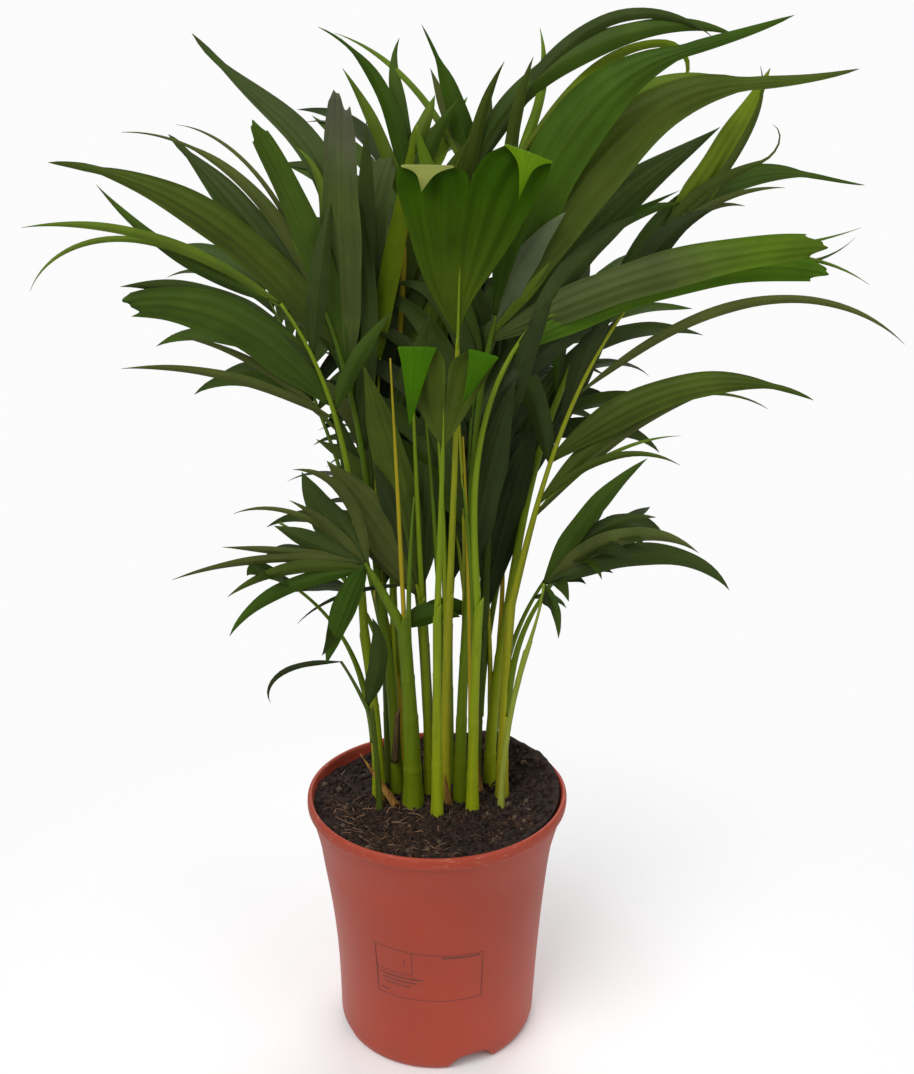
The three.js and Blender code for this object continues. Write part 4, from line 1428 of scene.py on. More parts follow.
@dataclass
class Crown:
    """All the fronds: their stalks in one piece, their leaflets in one piece for each side."""

    fronds: Sequence[Frond]
    free_roll: float = 56.0
    roll: float = 14.0
    free_twist: float = 70.0
    twist: float = 24.0

    TWIST_POWER = 1.3
    STATION, LEAST_STATIONS, MOST_STATIONS = 4.5, 16, 40
    WAVE, WAVES = 0.05, 17
    BROAD, PLEATS, PLEAT_DEPTH = 16, 2, 0.035
    BROAD_COLUMNS, BROAD_FOLD = 17, 0.2
    SLIM_COLUMNS, SLIM_FOLD = 9, 0.34
    STALK_STATIONS = 61
    PETIOLE_TONES = (StemTone.LIME, StemTone.YELLOW, StemTone.GREEN, StemTone.LIME, StemTone.GOLD)
    BARE_STEMS = "aelkq"
    REACHES = {"c": 130.0}
    REACH = 60.0

    def __post_init__(self) -> None:
        """Make the finishes that the fronds share."""
        self.leaf = {tone: LeafFinish(tone.name.lower(), tone.value).material() for tone in Tone}
        for tone, *foot in TWO_TONED:
            self.leaf[tone] = LeafFinish(tone.name.lower(), tone.value, *foot).material()
        self.stem = {tone: StemFinish(tone).material() for tone in StemTone}

    def build(self) -> None:
        """Build the stalks and the leaflets of every frond."""
        stalks = Bundle()
        groups = {side: Bundle() for side in Side}
        for number, frond in enumerate(self.fronds):
            points = frond.stalk_points()
            self._stalk(stalks, frond, points)
            for order, leaflet in enumerate(frond.leaflets):
                self._leaflet(groups[frond.side], frond, points, leaflet, order, number)
        self._petioles(stalks)
        stalks.piece("leaf_stalks", "leaf")
        for side, bundle in groups.items():
            nodes = [f"frond_{frond.name}" for frond in self.fronds if frond.side is side and frond.leaflets]
            bundle.piece(f"leaves_{side.value}", "leaf", nodes)

    def _stalk(self, bundle: Bundle, frond: Frond, points: np.ndarray) -> None:
        """Put one stalk into the bundle, with a foot that hugs its stem where it leaves the side.

        Args:
            bundle: What it goes into.
            frond: The stalk's frond.
            points: The stalk's points.
        """
        fine = resample(points, self.STALK_STATIONS)
        radii = np.array([frond.thickness(along) for along in np.linspace(0, 1, self.STALK_STATIONS)])
        if frond.at < 1.0:
            foot = frond.hugging_foot()
            fine = np.concatenate([foot, fine])
            swell = np.linspace(1.5, 1.0, len(foot)) * radii[0]
            radii = np.concatenate([swell, radii])
        Tube(fine, radii, 10, 0.03, 3).into(bundle, self.stem[frond.stem])

    def _petioles(self, bundle: Bundle) -> None:
        """Put two thin stalks beside each stem, but for the bare ones.

        Args:
            bundle: What they go into.
        """
        for number, (name, cane) in enumerate(CANES.items()):
            for second in range(0 if name in self.BARE_STEMS else 2):
                seed = number * 13 + second * 5 + 3
                petiole = Petiole(cane, seed, second, self.REACHES.get(name, self.REACH))
                tone = self.PETIOLE_TONES[(number + 2 * second) % len(self.PETIOLE_TONES)]
                petiole.tube().into(bundle, self.stem[tone])

    def _leaflet(
        self,
        bundle: Bundle,
        frond: Frond,
        stalk: np.ndarray,
        leaflet: Leaflet,
        order: int,
        number: int,
    ) -> None:
        """Put one leaflet into the bundle.

        Args:
            bundle: What it goes into.
            frond: The leaflet's frond.
            stalk: The stalk's points.
            leaflet: The leaflet.
            order: Its number on the frond.
            number: The frond's own number.
        """
        chance = share(number * 57 + order * 3 + 1)
        other = share(number * 31 + order * 7 + 2)
        points, face = frond.leaflet_points(stalk, leaflet, order)
        stations = max(self.LEAST_STATIONS, min(self.MOST_STATIONS, int(leaflet.length / self.STATION)))
        along = np.linspace(0, 1, stations)
        halves = np.maximum(outline(along, leaflet.tail, leaflet.blunt) * leaflet.width / 2, 0.1)
        halves = halves * (1 + self.WAVE * np.sin(along * self.WAVES + chance * 6))
        free = frond.side is Side.BACK or leaflet.tone is None
        roll = (self.free_roll if free else self.roll) * (chance - 0.5)
        if leaflet.roll is not None:
            roll = leaflet.roll
        twist = (self.free_twist if free else self.twist) * (other - 0.5)
        broad = leaflet.width >= self.BROAD
        blade = Blade(
            resample(points, stations),
            halves,
            face,
            np.radians(roll + twist * along**self.TWIST_POWER),
            across=self.BROAD_COLUMNS if broad else self.SLIM_COLUMNS,
            fold=self.BROAD_FOLD if broad else self.SLIM_FOLD,
            pleats=self.PLEATS if broad else 0,
            pleat_depth=self.PLEAT_DEPTH,
            torn=chance if leaflet.blunt else None,
        )
        tone = leaflet.tone or frond.tones[int(chance * len(frond.tones)) % len(frond.tones)]
        blade.sheet().into(bundle, self.leaf[tone])


def rounded(line: Sequence[Sequence[float]], times: int = 2) -> np.ndarray:
    """Return a line with its corners cut off, its two ends kept.

    Args:
        line: The line's points.
        times: How often each corner is cut.

    Returns:
        The softer line.
    """
    soft = np.array(line, dtype=float)
    for _ in range(times):
        near, far = soft[:-1] * 0.75 + soft[1:] * 0.25, soft[:-1] * 0.25 + soft[1:] * 0.75
        pairs = np.stack([near, far], axis=1).reshape(-1, soft.shape[1])
        soft = np.concatenate([soft[:1], pairs, soft[-1:]])
    return soft


def evenly(line: np.ndarray, count: int) -> np.ndarray:
    """Return points at even distances along a line.

    Args:
        line: The line's points.
        count: How many points to return.

    Returns:
        The points.
    """
    steps = np.linalg.norm(np.diff(line, axis=0), axis=1)
    far = np.concatenate([[0], np.cumsum(steps)])
    at = np.linspace(0, far[-1], count)
    return np.stack([np.interp(at, far, line[:, axis]) for axis in range(line.shape[1])], axis=1)


class TipTone(Enum):
    """The colours of a two-lobed leaf's folded tips, as sRGB bytes; PALE is a painted highlight."""

    # PALE paints the grey-green highlight of a folded tip's glossy face into its colour.
    PALE = (122, 130, 66)
    VIVID = (88, 124, 12)
    FRESH = (58, 100, 6)

    def material(self) -> bpy.types.Material:
        """Return the finish of a tip in this colour."""
        return LeafFinish(f"tip_{self.name.lower()}", self.value, rib=0.0, gloss=0.04).material()


@dataclass(frozen=True)
class Lobe:
    """One half of a two-lobed leaf: its two edges up to a crease, and its tip, which hangs over in front."""

    outer: tuple[tuple[float, float], ...]
    inner: tuple[tuple[float, float], ...]
    tip: tuple[float, float]
    tip_tone: TipTone
    straight: float


@dataclass(frozen=True)
class BifidLeaf:
    """A broad, pleated young leaf of two joined lobes whose tips are folded over."""

    name: str
    lobes: tuple[Lobe, Lobe]
    colour: tuple[int, int, int]
    foot: tuple[int, int, int]
    lean: float = 6.0
    pleats: int = 3
    rib_reach: float = 62.0

    ROWS, TURN_ROWS, TIP_ROWS, COLUMNS = 34, 6, 14, 25
    THICKNESS = 0.4
    PLEAT, PLEAT_POWER = 0.035, 0.6
    CUP, CUP_LOSS = 0.16, 0.6
    TURN, TURN_RADIUS = 168.0, 1.1
    TIP_SPACING, TIP_POINT, TIP_PUFF, PUFF_PART = 1.3, 7, 3.5, 0.8
    RIB_STATIONS, RIB_START, RIB_DRIFT, RIB_LIFT = 24, -6.0, 0.03, 0.2
    RIB_RADII = (1.0, 0.15)

    def build(
        self,
        frond: Frond,
        finishes: dict[TipTone, bpy.types.Material],
        ribs: bpy.types.Material,
    ) -> None:
        """Build the leaf as one piece that stands for its frond.

        Args:
            frond: The frond, whose stalk carries the leaf.
            finishes: The finish of each tone of folded tip.
            ribs: The finish of the midrib.
        """
        bundle = Bundle()
        body = LeafFinish(self.name, self.colour, self.foot, veins=21, rib=0.0, gloss=0.04).material()
        right, up, out = frond_plane(frond.faces, self.lean)
        base = frond.stalk_points()[-1]
        for lobe in self.lobes:
            flat, lift = self._flat(lobe)
            grid = base + flat[..., :1] * right + flat[..., 1:] * up + lift[..., None] * out
            along, across = np.gradient(grid, axis=0), np.gradient(grid, axis=1)
            normals = unit(np.cross(along, across))
            if float(normals[self.ROWS // 2, self.COLUMNS // 2] @ out) < 0:
                grid, normals = grid[:, ::-1], -normals[:, ::-1]
            leaf = Sheet(grid, normals, self.THICKNESS, 0.0)
            leaf.into(bundle, body, finishes[lobe.tip_tone], self.ROWS + 1)
        climb = np.linspace(self.RIB_START, self.rib_reach, self.RIB_STATIONS)
        drift = np.linspace(0, self.RIB_DRIFT, self.RIB_STATIONS) * self.rib_reach
        rib = base + np.outer(climb, up) + np.outer(drift, right) + out * self.RIB_LIFT
        Tube(rib, np.linspace(*self.RIB_RADII, self.RIB_STATIONS), 8).into(bundle, ribs)
        bundle.piece(f"leaf_{self.name}", "leaf", [f"frond_{frond.name}"])

    def _flat(self, lobe: Lobe) -> tuple[np.ndarray, np.ndarray]:
        """Return the lobe's points in its plane, and how far each stands out of it.

        Args:
            lobe: The lobe.

        Returns:
            The points, row by row from the base to the hanging tip, and their heights.
        """
        outer, inner = evenly(rounded(lobe.outer), self.ROWS), evenly(rounded(lobe.inner), self.ROWS)
        across = np.linspace(0, 1, self.COLUMNS)[None, :]
        body = outer[:, None] * (1 - across[..., None]) + inner[:, None] * across[..., None]
        grow = np.linspace(0, 1, self.ROWS)[:, None]
        width = np.linalg.norm(outer - inner, axis=1)[:, None]
        wave = np.cos(across * math.pi * 2 * self.pleats)
        lift = self.PLEAT * width * wave * np.sin(grow * math.pi) ** self.PLEAT_POWER
        lift = lift + self.CUP * width * (across - 1) * grow * (1 - self.CUP_LOSS * grow)
        crease = body[-1]
        along = crease[-1] - crease[0]
        beyond = np.array([-along[1], along[0]]) / np.linalg.norm(along)
        beyond = beyond if beyond[1] > 0 else -beyond
        bend = np.radians(np.linspace(0, self.TURN, self.TURN_ROWS + 1)[1:])
        over = self.TURN_RADIUS * np.sin(bend)
        turn = crease[None] + beyond * over[:, None, None]
        turn_lift = lift[-1][None] + self.TURN_RADIUS * (1 - np.cos(bend))[:, None]
        parts = np.linspace(0, 1, self.TIP_ROWS + 1)[1:, None, None] ** self.TIP_SPACING
        narrow = lobe.straight * (1 - parts) + (1 - lobe.straight) * (1 - parts) ** self.TIP_POINT
        middle = turn[-1].mean(axis=0)
        spine = middle * (1 - parts) + np.array(lobe.tip) * parts
        tip = spine + (turn[-1][None] - middle) * narrow
        tip_lift = turn_lift[-1][None] + self.TIP_PUFF * np.sin(parts[..., 0] * math.pi * self.PUFF_PART)
        return np.concatenate([body, turn, tip]), np.concatenate([lift, turn_lift, tip_lift])


HEART_LOBES = (
    Lobe(
        ((0, 0.3), (-10, 17), (-19.8, 35), (-29, 68), (-32.6, 82), (-33, 89.5), (-29.7, 92.6)),
        ((0, 0.3), (1, 32), (2.4, 64), (5.6, 80), (6.4, 86), (4.2, 91.5), (-2, 92.4)),
        (-19.2, 80.5), TipTone.PALE, 0.42,
    ),
    Lobe(
        ((0, 0.3), (5.5, 19), (25.1, 46), (35.5, 63.5), (43.1, 79), (48.7, 89), (49.7, 94.5)),
        ((0, 0.3), (1, 32), (2.4, 64), (5.4, 80), (8, 89), (14.5, 99.5), (24.6, 103.6)),
        (32.4, 76), TipTone.VIVID, 0.36,
    ),
)
FOLD_LOBES = (
    Lobe(
        ((0.1, -1), (-10.6, 15.2), (-19.2, 38.5), (-24.3, 56.9)),
        ((0.1, -1), (1.9, 38.5), (1.4, 52.5), (-3.3, 56.9)),
        (-18.6, 12.5), TipTone.FRESH, 0.86,
    ),
    Lobe(
        ((0.1, -1), (12, 17), (23, 37.6), (30.4, 51.2)),
        ((0.1, -1), (2.5, 38.5), (4.1, 50.5), (14.2, 56.2)),
        (10.8, 25.7), TipTone.FRESH, 0.86,
    ),
)
BIFID_LEAVES = (
    BifidLeaf("heart", HEART_LOBES, (42, 72, 2), (62, 78, 16)),
    BifidLeaf("fold", FOLD_LOBES, (62, 80, 18), (68, 82, 28), pleats=2, rib_reach=24.0),
)


@dataclass(frozen=True)
class Stems:
    """The clump of stems between the soil and the leaf stalks, in a finish for each tone."""

    finishes: dict[StemTone, bpy.types.Material]
    stations: int = 70
    sides: int = 20
    sink: float = 6.0
    slant: float = 2.2

    RINGS, FIRST_RING, RING_GAP, RING_SCATTER = 3, 0.12, 0.3, 0.16
    RING_WIDTH, STEP_IN, BULGE = 0.012, 0.055, 0.05
    BELLY_AT, BELLY, SHEATH = 0.7, 1.06, 0.4
    PAST = (2.0, 4.0, 6.0)
    FOOT_SWELL, ROUGH = 1.04, 0.012

    def build(self) -> None:
        """Build every stem, all in one piece."""
        bundle = Bundle()
        for number, cane in enumerate(CANES.values()):
            self._stem(bundle, cane, number)
        bundle.piece("stems", "stem", [f"cane_{name}" for name in CANES])

    def _stem(self, bundle: Bundle, cane: Cane, number: int) -> None:
        """Put one stem into the bundle: it starts in the soil and ends in a slanted sheath.

        Args:
            bundle: What it goes into.
            cane: The stem.
            number: Its number, which seeds the places of its rings.
        """
        along = np.linspace(0, 1, self.stations)
        points = np.array([cane.point(part) for part in along])
        radii = np.array([cane.thickness(part) for part in along])
        for ring in range(self.RINGS):
            at = self.FIRST_RING + self.RING_GAP * ring + self.RING_SCATTER * share(number * 11 + ring)
            past_ring = (along - at) / self.RING_WIDTH
            radii = radii * (1 - self.STEP_IN * np.clip(past_ring, 0, 1))
            radii = radii * (1 + self.BULGE * np.exp(-(past_ring**2)))
        top = (cane.radius[1] + self.SHEATH) / radii[-1]
        radii = radii * np.interp(along, [0, self.BELLY_AT, 1], [1.0, self.BELLY, top])
        way = cane.end_way()
        down = np.array([[*cane.foot, cane.SOIL_TOP - self.sink]])
        past = np.array([points[-1] + way * reach for reach in self.PAST])
        points = np.concatenate([down, points, past])
        radii = np.concatenate([[radii[0] * self.FOOT_SWELL], radii, [radii[-1]] * len(self.PAST)])
        stem = Tube(points, radii, self.sides, self.ROUGH, 7, slant=self.slant)
        stem.into(bundle, self.finishes[cane.tone])


@dataclass(frozen=True)
class Pot:
    """The nursery pot: turned wall, rolled lip, drain notches and a plain printed panel."""

    rim: float = 85.0
    height: float = 167.0
    base: float = 66.0
    thickness: float = 1.8
    shoulder: float = 76.4
    shoulder_height: float = 131.0
    lip: float = 7.0
    waist: float = 1.4
    front_lift: float = 3.6
    bell: float = 2.0
    notch_width: float = 30.0
    notch_bearing: float = -68.5
    notch_heights: tuple[float, ...] = (10.0, 5.0, 5.0, 5.0)
    ring_inside: float = 55.0

    WOBBLE, WOBBLE_LATE, RIPPLE, PUSH = 0.25, 0.7, 0.15, 0.9
    UPPER_FROM, UPPER_SPAN, LIFT_POWER = 120.0, 47.0, 1.5
    SEGMENTS = 240
    FRAME = (
        (-121.8, 57.2, -121.8, 95.4), (-65.0, 56.8, -65.0, 91.8), (-121.8, 57.2, -65.0, 56.8),
        (-121.8, 95.4, -101.6, 94.0), (-101.6, 94.0, -65.0, 91.8), (-101.6, 75.8, -101.6, 94.0),
        (-121.8, 76.6, -101.6, 75.8), (-105.6, 82.5, -105.6, 88.0),
    )
    FRAME_WIDTH = 0.34
    RULED = (
        (-119.5, 73.4, -96.0, 72.9, 0.75), (-118.3, 70.3, -99.4, 69.8, 0.65),
        (-117.1, 67.2, -102.8, 66.7, 0.55), (-86.5, 91.4, -66.5, 90.0, 0.9),
        (-119.8, 61.4, -114.6, 61.2, 0.7),
    )
    PRINT_STEP, PRINT_LIFT, PRINT_SUNK = 2, 0.1, -0.6

    def keys(self) -> list[tuple[float, float]]:
        """Return the wall's corners.

        Returns:
            Radius and height of each, from the middle of the foot, up and back down to the floor's middle.
        """
        rim, top, base = self.rim, self.height, self.base
        shoulder, high, lip = self.shoulder, self.shoulder_height, top - self.lip
        pad = [(0.4, 0), (20, 0), (20.5, 0), (21, 2.5), (54.5, 2.5), (55, 2.5), (56, 0), (base - 3, 0)]
        heel = [(base - 0.8, 1.6), (base + 0.4, 6), (base + 0.5, 8)]
        waist = [(mix(base, shoulder, 0.5) - self.waist, mix(8, high, 0.5)), (shoulder - 0.8, high)]
        flare = [(shoulder + 1.7, high + 11), (shoulder + 4.2, high + 20)]
        roll = [(rim - 2.4, lip - 1.2), (rim - 1.9, lip - 0.4), (rim - 0.5, lip - 0.2), (rim, lip + 1.2)]
        crest = [(rim, top - 2.4), (rim - 0.6, top - 0.5), (rim - 1.6, top), (rim - 2.8, top - 0.3)]
        inside = [(rim - 3.6, top - 1.8), (rim - 4.0, lip), (shoulder + 1.4, high + 18)]
        floor = [(shoulder - 1.8, high), (base - 1.3, 9), (base - 4.3, 5.5), (0.4, 5.5)]
        return pad + heel + waist + flare + roll + crest + inside + floor

    def wall(self, height: float) -> float:
        """Return the outside radius of the wall.

        Args:
            height: A height between the foot and the shoulder.

        Returns:
            The radius, without the slimmer left side.
        """
        line = self.profile()
        outside = line[: len(line) // 2]
        outside = outside[(outside[:, 1] > 5) & (outside[:, 1] < self.shoulder_height + 10)]
        return float(np.interp(height, outside[:, 1], outside[:, 0]))

    def slimness(self, heights: np.ndarray | float, bearings: np.ndarray | float) -> np.ndarray:
        """Return how much slimmer the pot is there: most at the left, half way up."""
        bell = np.sin(np.clip(heights / self.shoulder_height, 0, 1) * math.pi)
        return self.bell * bell * np.maximum(0.0, -np.cos(bearings))

    def lift(self, bearing: np.ndarray | float) -> np.ndarray | float:
        """Return how much higher the uneven rim stands at a bearing, most at the front."""
        return self.front_lift * (1 - ((np.sin(bearing) + 1) / 2) ** 2)

    def profile(self) -> np.ndarray:
        """Return the wall's corners, rounded by cutting each one twice."""
        return rounded(self.keys())

    def build(self) -> None:
        """Build the pot and its printed panel."""
        bundle = Bundle()
        line = self.profile()
        bearings = np.arange(self.SEGMENTS) / self.SEGMENTS * 2 * math.pi
        radii = np.broadcast_to(line[:, :1], (len(line), self.SEGMENTS)).copy()
        heights = np.broadcast_to(line[:, 1:], (len(line), self.SEGMENTS)).copy()
        half = self.notch_width / 2
        outside = np.arange(len(line)) < len(line) // 2
        for notch, opening in enumerate(self.notch_heights):
            middle = math.radians(self.notch_bearing + notch * 360 / len(self.notch_heights))
            turn = (bearings - middle + math.pi) % (2 * math.pi) - math.pi
            offset = self.base * np.sin(turn)
            inside = np.abs(offset) < half
            arch = opening * (1 - np.clip(np.abs(offset) / half, 0, 1) ** 3) ** 0.5
            raised = (np.cos(turn) > 0)[None, :] & inside[None, :] & (radii > self.ring_inside - 3)
            lifted = arch[None, :] + np.where(outside, 0.0, self.thickness)[:, None]
            heights = np.where(raised, np.maximum(heights, lifted), heights)
        wobble = self.WOBBLE * np.sin(3 * bearings + self.WOBBLE_LATE) + self.RIPPLE * np.sin(5 * bearings)
        wobble = wobble + self.PUSH * np.cos(bearings)
        radii = radii - np.where(radii > self.ring_inside, self.slimness(heights, bearings), 0.0)
        upper = np.clip((heights - self.UPPER_FROM) / self.UPPER_SPAN, 0, 1)
        radii = radii + wobble[None, :] * upper
        heights = heights + self.lift(bearings)[None, :] * upper**self.LIFT_POWER
        corners = np.stack([radii * np.cos(bearings), radii * np.sin(bearings), heights], axis=-1)
        count = len(line)
        weave = np.stack([np.zeros((count, self.SEGMENTS)), heights * MM], axis=-1).reshape(-1, 2)
        faces = ring_faces(count, self.SEGMENTS)
        bundle.add(corners.reshape(-1, 3), faces, PotFinish().material(), weave)
        bundle.piece("pot_wall", "pot", ["pot"])
        self._panel()

    def _panel(self) -> None:
        """Build the plain printed panel: a frame, an inner square and ruled strokes."""
        ink = PrintFinish().material()
        bundle = Bundle()
        framed = tuple((*line, self.FRAME_WIDTH) for line in self.FRAME)
        for start, low, end, high, width in framed + self.RULED:
            self._stroke(bundle, ink, (start, low), (end, high), width)
        bundle.piece("panel_print", "pot")

    def _stroke(
        self,
        bundle: Bundle,
        ink: bpy.types.Material,
        start: tuple[float, float],
        end: tuple[float, float],
        width: float,
    ) -> None:
        """Put one printed stroke on the wall.

        Args:
            bundle: What it goes into.
            ink: Its finish.
            start: The bearing, in degrees, and the height where it starts.
            end: The bearing and the height where it ends.
            width: Its width.
        """
        steps = 2 + int(abs(end[0] - start[0]) / self.PRINT_STEP)
        parts = np.linspace(0, 1, steps)
        bearings = np.radians(start[0] + (end[0] - start[0]) * parts)
        heights = start[1] + (end[1] - start[1]) * parts
        upright = abs(end[0] - start[0]) < 0.5
        lift, sunk = self.PRINT_LIFT, self.PRINT_SUNK
        rings = []
        for bearing, height in zip(bearings, heights):
            ring = []
            for side, out in ((-1, lift), (1, lift), (1, sunk), (-1, sunk)):
                z = height + (0 if upright else side * width / 2)
                turn = bearing + (-side * width / 2 / self.wall(height) if upright else 0)
                radius = self.wall(z) + out - float(self.slimness(z, turn))
                ring.append((radius * math.cos(turn), radius * math.sin(turn), z))
            rings.append(ring if upright else ring[::-1])
        corners = np.array(rings).reshape(-1, 3)
        bundle.add(corners, ring_faces(len(rings), 4), ink)


@dataclass
class Soil:
    """The peat in the pot, with crumbs, bark and fibres on it, heaped to the lip on the right."""

    pot: Pot
    top: float = 156.0
    flat: float = 52.0
    bearings: tuple[float, ...] = (-180, -135, -90, -45, 0, 30, 60, 90, 135, 180)
    edges: tuple[float, ...] = (163.5, 165.0, 166.8, 168.6, 171.5, 175.6, 174.5, 165.0, 160.0, 163.5)
    spread: float = 79.0
    crumbs: int = 2600
    fibres: int = 520

    EDGE_WAVE, EDGE_WAVES = 0.7, 7
    SIDE = ((1.0, 8.0), (57.0, 8.0), (61.0, 11.5), (71.5, 131.0))
    RINGS, SEGMENTS = 64, 200
    SLOPE, SLOPE_POWER = 27.0, 1.1
    MOUND, MOUND_REACH = 2.2, 5
    GRAIN, GRAIN_DEPTH = 0.09, 1.7
    LUMPS, CLODS, CLOD_GRAIN, HUMPS, HUMP_GRAIN = 1.5, 0.55, 6.3, 0.9, 2.6
    CRUMB_REACH, CRUMB_LEAST, CRUMB_MORE = 0.985, 0.6, 2.0
    CRUMB_ROUGH, CRUMB_UP = 0.25, 0.25
    CRUMB_SHARES = (0.8, 0.965)
    FIBRE_REACH, FIBRE_STEPS = 0.95, 8
    FIBRE_LENGTHS, FIBRE_CURL, FIBRE_RADII = (4, 15), 1.6, (0.12, 0.34)
    FIBRE_LIFT, FIBRE_ARCH, FIBRE_EDGE = 0.7, 1.2, 77

    def __post_init__(self) -> None:
        """Seed the soil's own draws."""
        self.chance = np.random.default_rng(11)

    def edge(self, bearing: float) -> float:
        """Return the height of the soil against the wall.

        Args:
            bearing: The bearing of the place, in radians.

        Returns:
            The height.
        """
        turned = (math.degrees(bearing) + 180) % 360 - 180
        height = float(np.interp(turned, self.bearings, self.edges))
        return height + self.EDGE_WAVE * math.sin(self.EDGE_WAVES * bearing)

    def inner(self, height: float) -> float:
        """Return the inside radius of the pot.

        Args:
            height: The height of the place.

        Returns:
            The radius.
        """
        pot = self.pot
        heights = [9, pot.shoulder_height, pot.shoulder_height + 18, pot.height - pot.lip, pot.height]
        radii = [pot.base - 1.3, pot.shoulder - 1.8, pot.shoulder + 1.2, pot.rim - 4.3, pot.rim - 4]
        return float(np.interp(height, heights, radii))

    def surface(self, x: float, y: float) -> float:
        """Return the height of the soil.

        Args:
            x: How far to the right the place is.
            y: How far back it is.

        Returns:
            The height.
        """
        radius, bearing = math.hypot(x, y), math.atan2(y, x)
        out = min(1.0, max(0.0, (radius - self.flat) / self.SLOPE))
        height = mix(self.top, self.edge(bearing), out**self.SLOPE_POWER)
        for cane in CANES.values():
            apart = math.hypot(x - cane.foot[0], y - cane.foot[1])
            height += self.MOUND * math.exp(-((apart / (cane.radius[0] + self.MOUND_REACH)) ** 2))
        place = Vector((x * self.GRAIN, y * self.GRAIN, self.GRAIN_DEPTH))
        lumps = self.LUMPS * noise.fractal(place, 0.9, 2.1, 3)
        height += lumps + self.CLODS * noise.noise(place * self.CLOD_GRAIN)
        return height + self.HUMPS * max(0.0, noise.noise(place * self.HUMP_GRAIN)) ** 2

    def build(self) -> None:
        """Build the soil, then what lies on it."""
        bundle = Bundle()
        bearings = np.arange(self.SEGMENTS) / self.SEGMENTS * 2 * math.pi
        rows = []
        for radius, height in self.SIDE:
            rows.append([(radius * math.cos(b), radius * math.sin(b), height) for b in bearings])
        for ring in range(self.RINGS):
            part = 1 - ring / self.RINGS
            row = []
            for bearing in bearings:
                radius = self.inner(self.edge(bearing) + 1) * part
                x, y = radius * math.cos(bearing), radius * math.sin(bearing)
                row.append((x, y, self.surface(x, y)))
            rows.append(row)
        corners = np.array(rows).reshape(-1, 3)
        earth = EarthFinish("peat", (32, 24, 21), (57, 44, 37)).material()
        bundle.add(corners, ring_faces(len(rows), self.SEGMENTS), earth)
        bundle.piece("soil_bed", "soil", ["soil"])
        self._crumbs()
        self._fibres()

    def _spot(self, reach: float) -> tuple[float, float, float]:
        """Return a chance place on the soil.

        Args:
            reach: The share of the soil's radius that it keeps to.

        Returns:
            The place and its height.
        """
        bearing = self.chance.uniform(0, 2 * math.pi)
        radius = self.spread * reach * math.sqrt(self.chance.uniform(0.0, 1.0))
        x, y = radius * math.cos(bearing), radius * math.sin(bearing)
        return x, y, self.surface(x, y)

    def _crumbs(self) -> None:
        """Scatter crumbs of peat and bark over the soil."""
        base, faces = self._pebble()
        finishes = [
            EarthFinish("crumb_dark", (33, 24, 21), (57, 44, 37)).material(),
            EarthFinish("crumb_bark", (50, 34, 27), (74, 52, 40)).material(),
            EarthFinish("crumb_pale", (78, 64, 50), (108, 90, 72)).material(),
        ]
        bundle = Bundle()
        for _ in range(self.crumbs):
            x, y, z = self._spot(self.CRUMB_REACH)
            size = self.CRUMB_LEAST + self.CRUMB_MORE * self.chance.random() ** 3
            stretch = self.chance.uniform(0.6, 1.35, 3) * size
            turn = self.chance.uniform(0, 2 * math.pi)
            dents = self.chance.uniform(-self.CRUMB_ROUGH, self.CRUMB_ROUGH, (len(base), 1))
            wide, deep, tall = (base * (1 + dents) * stretch).T
            cos, sin = math.cos(turn), math.sin(turn)
            spun = np.stack([wide * cos - deep * sin, wide * sin + deep * cos, tall], axis=1)
            pick = int(np.searchsorted(self.CRUMB_SHARES, self.chance.random(), side="right"))
            bundle.add(spun + np.array([x, y, z + self.CRUMB_UP * size]), faces, finishes[pick])
        bundle.piece("soil_crumbs", "soil")

    def _pebble(self) -> tuple[np.ndarray, list[list[int]]]:
        """Return the shape of a crumb.

        Returns:
            The corners and the faces of a round twenty-sided solid.
        """
        golden = (1 + math.sqrt(5)) / 2
        flat = [(0, a, b * golden) for a in (-1, 1) for b in (-1, 1)]
        corners = np.array(flat + [(p[1], p[2], 0) for p in flat] + [(p[2], 0, p[1]) for p in flat])
        faces = []
        for i in range(12):
            for j in range(i + 1, 12):
                for k in range(j + 1, 12):
                    sides = [corners[i] - corners[j], corners[j] - corners[k], corners[k] - corners[i]]
                    if all(abs(float(np.linalg.norm(side)) - 2) < 0.01 for side in sides):
                        out = float(np.cross(sides[0], sides[1]) @ corners[i])
                        faces.append([i, j, k] if out > 0 else [i, k, j])
        return unit(corners), faces

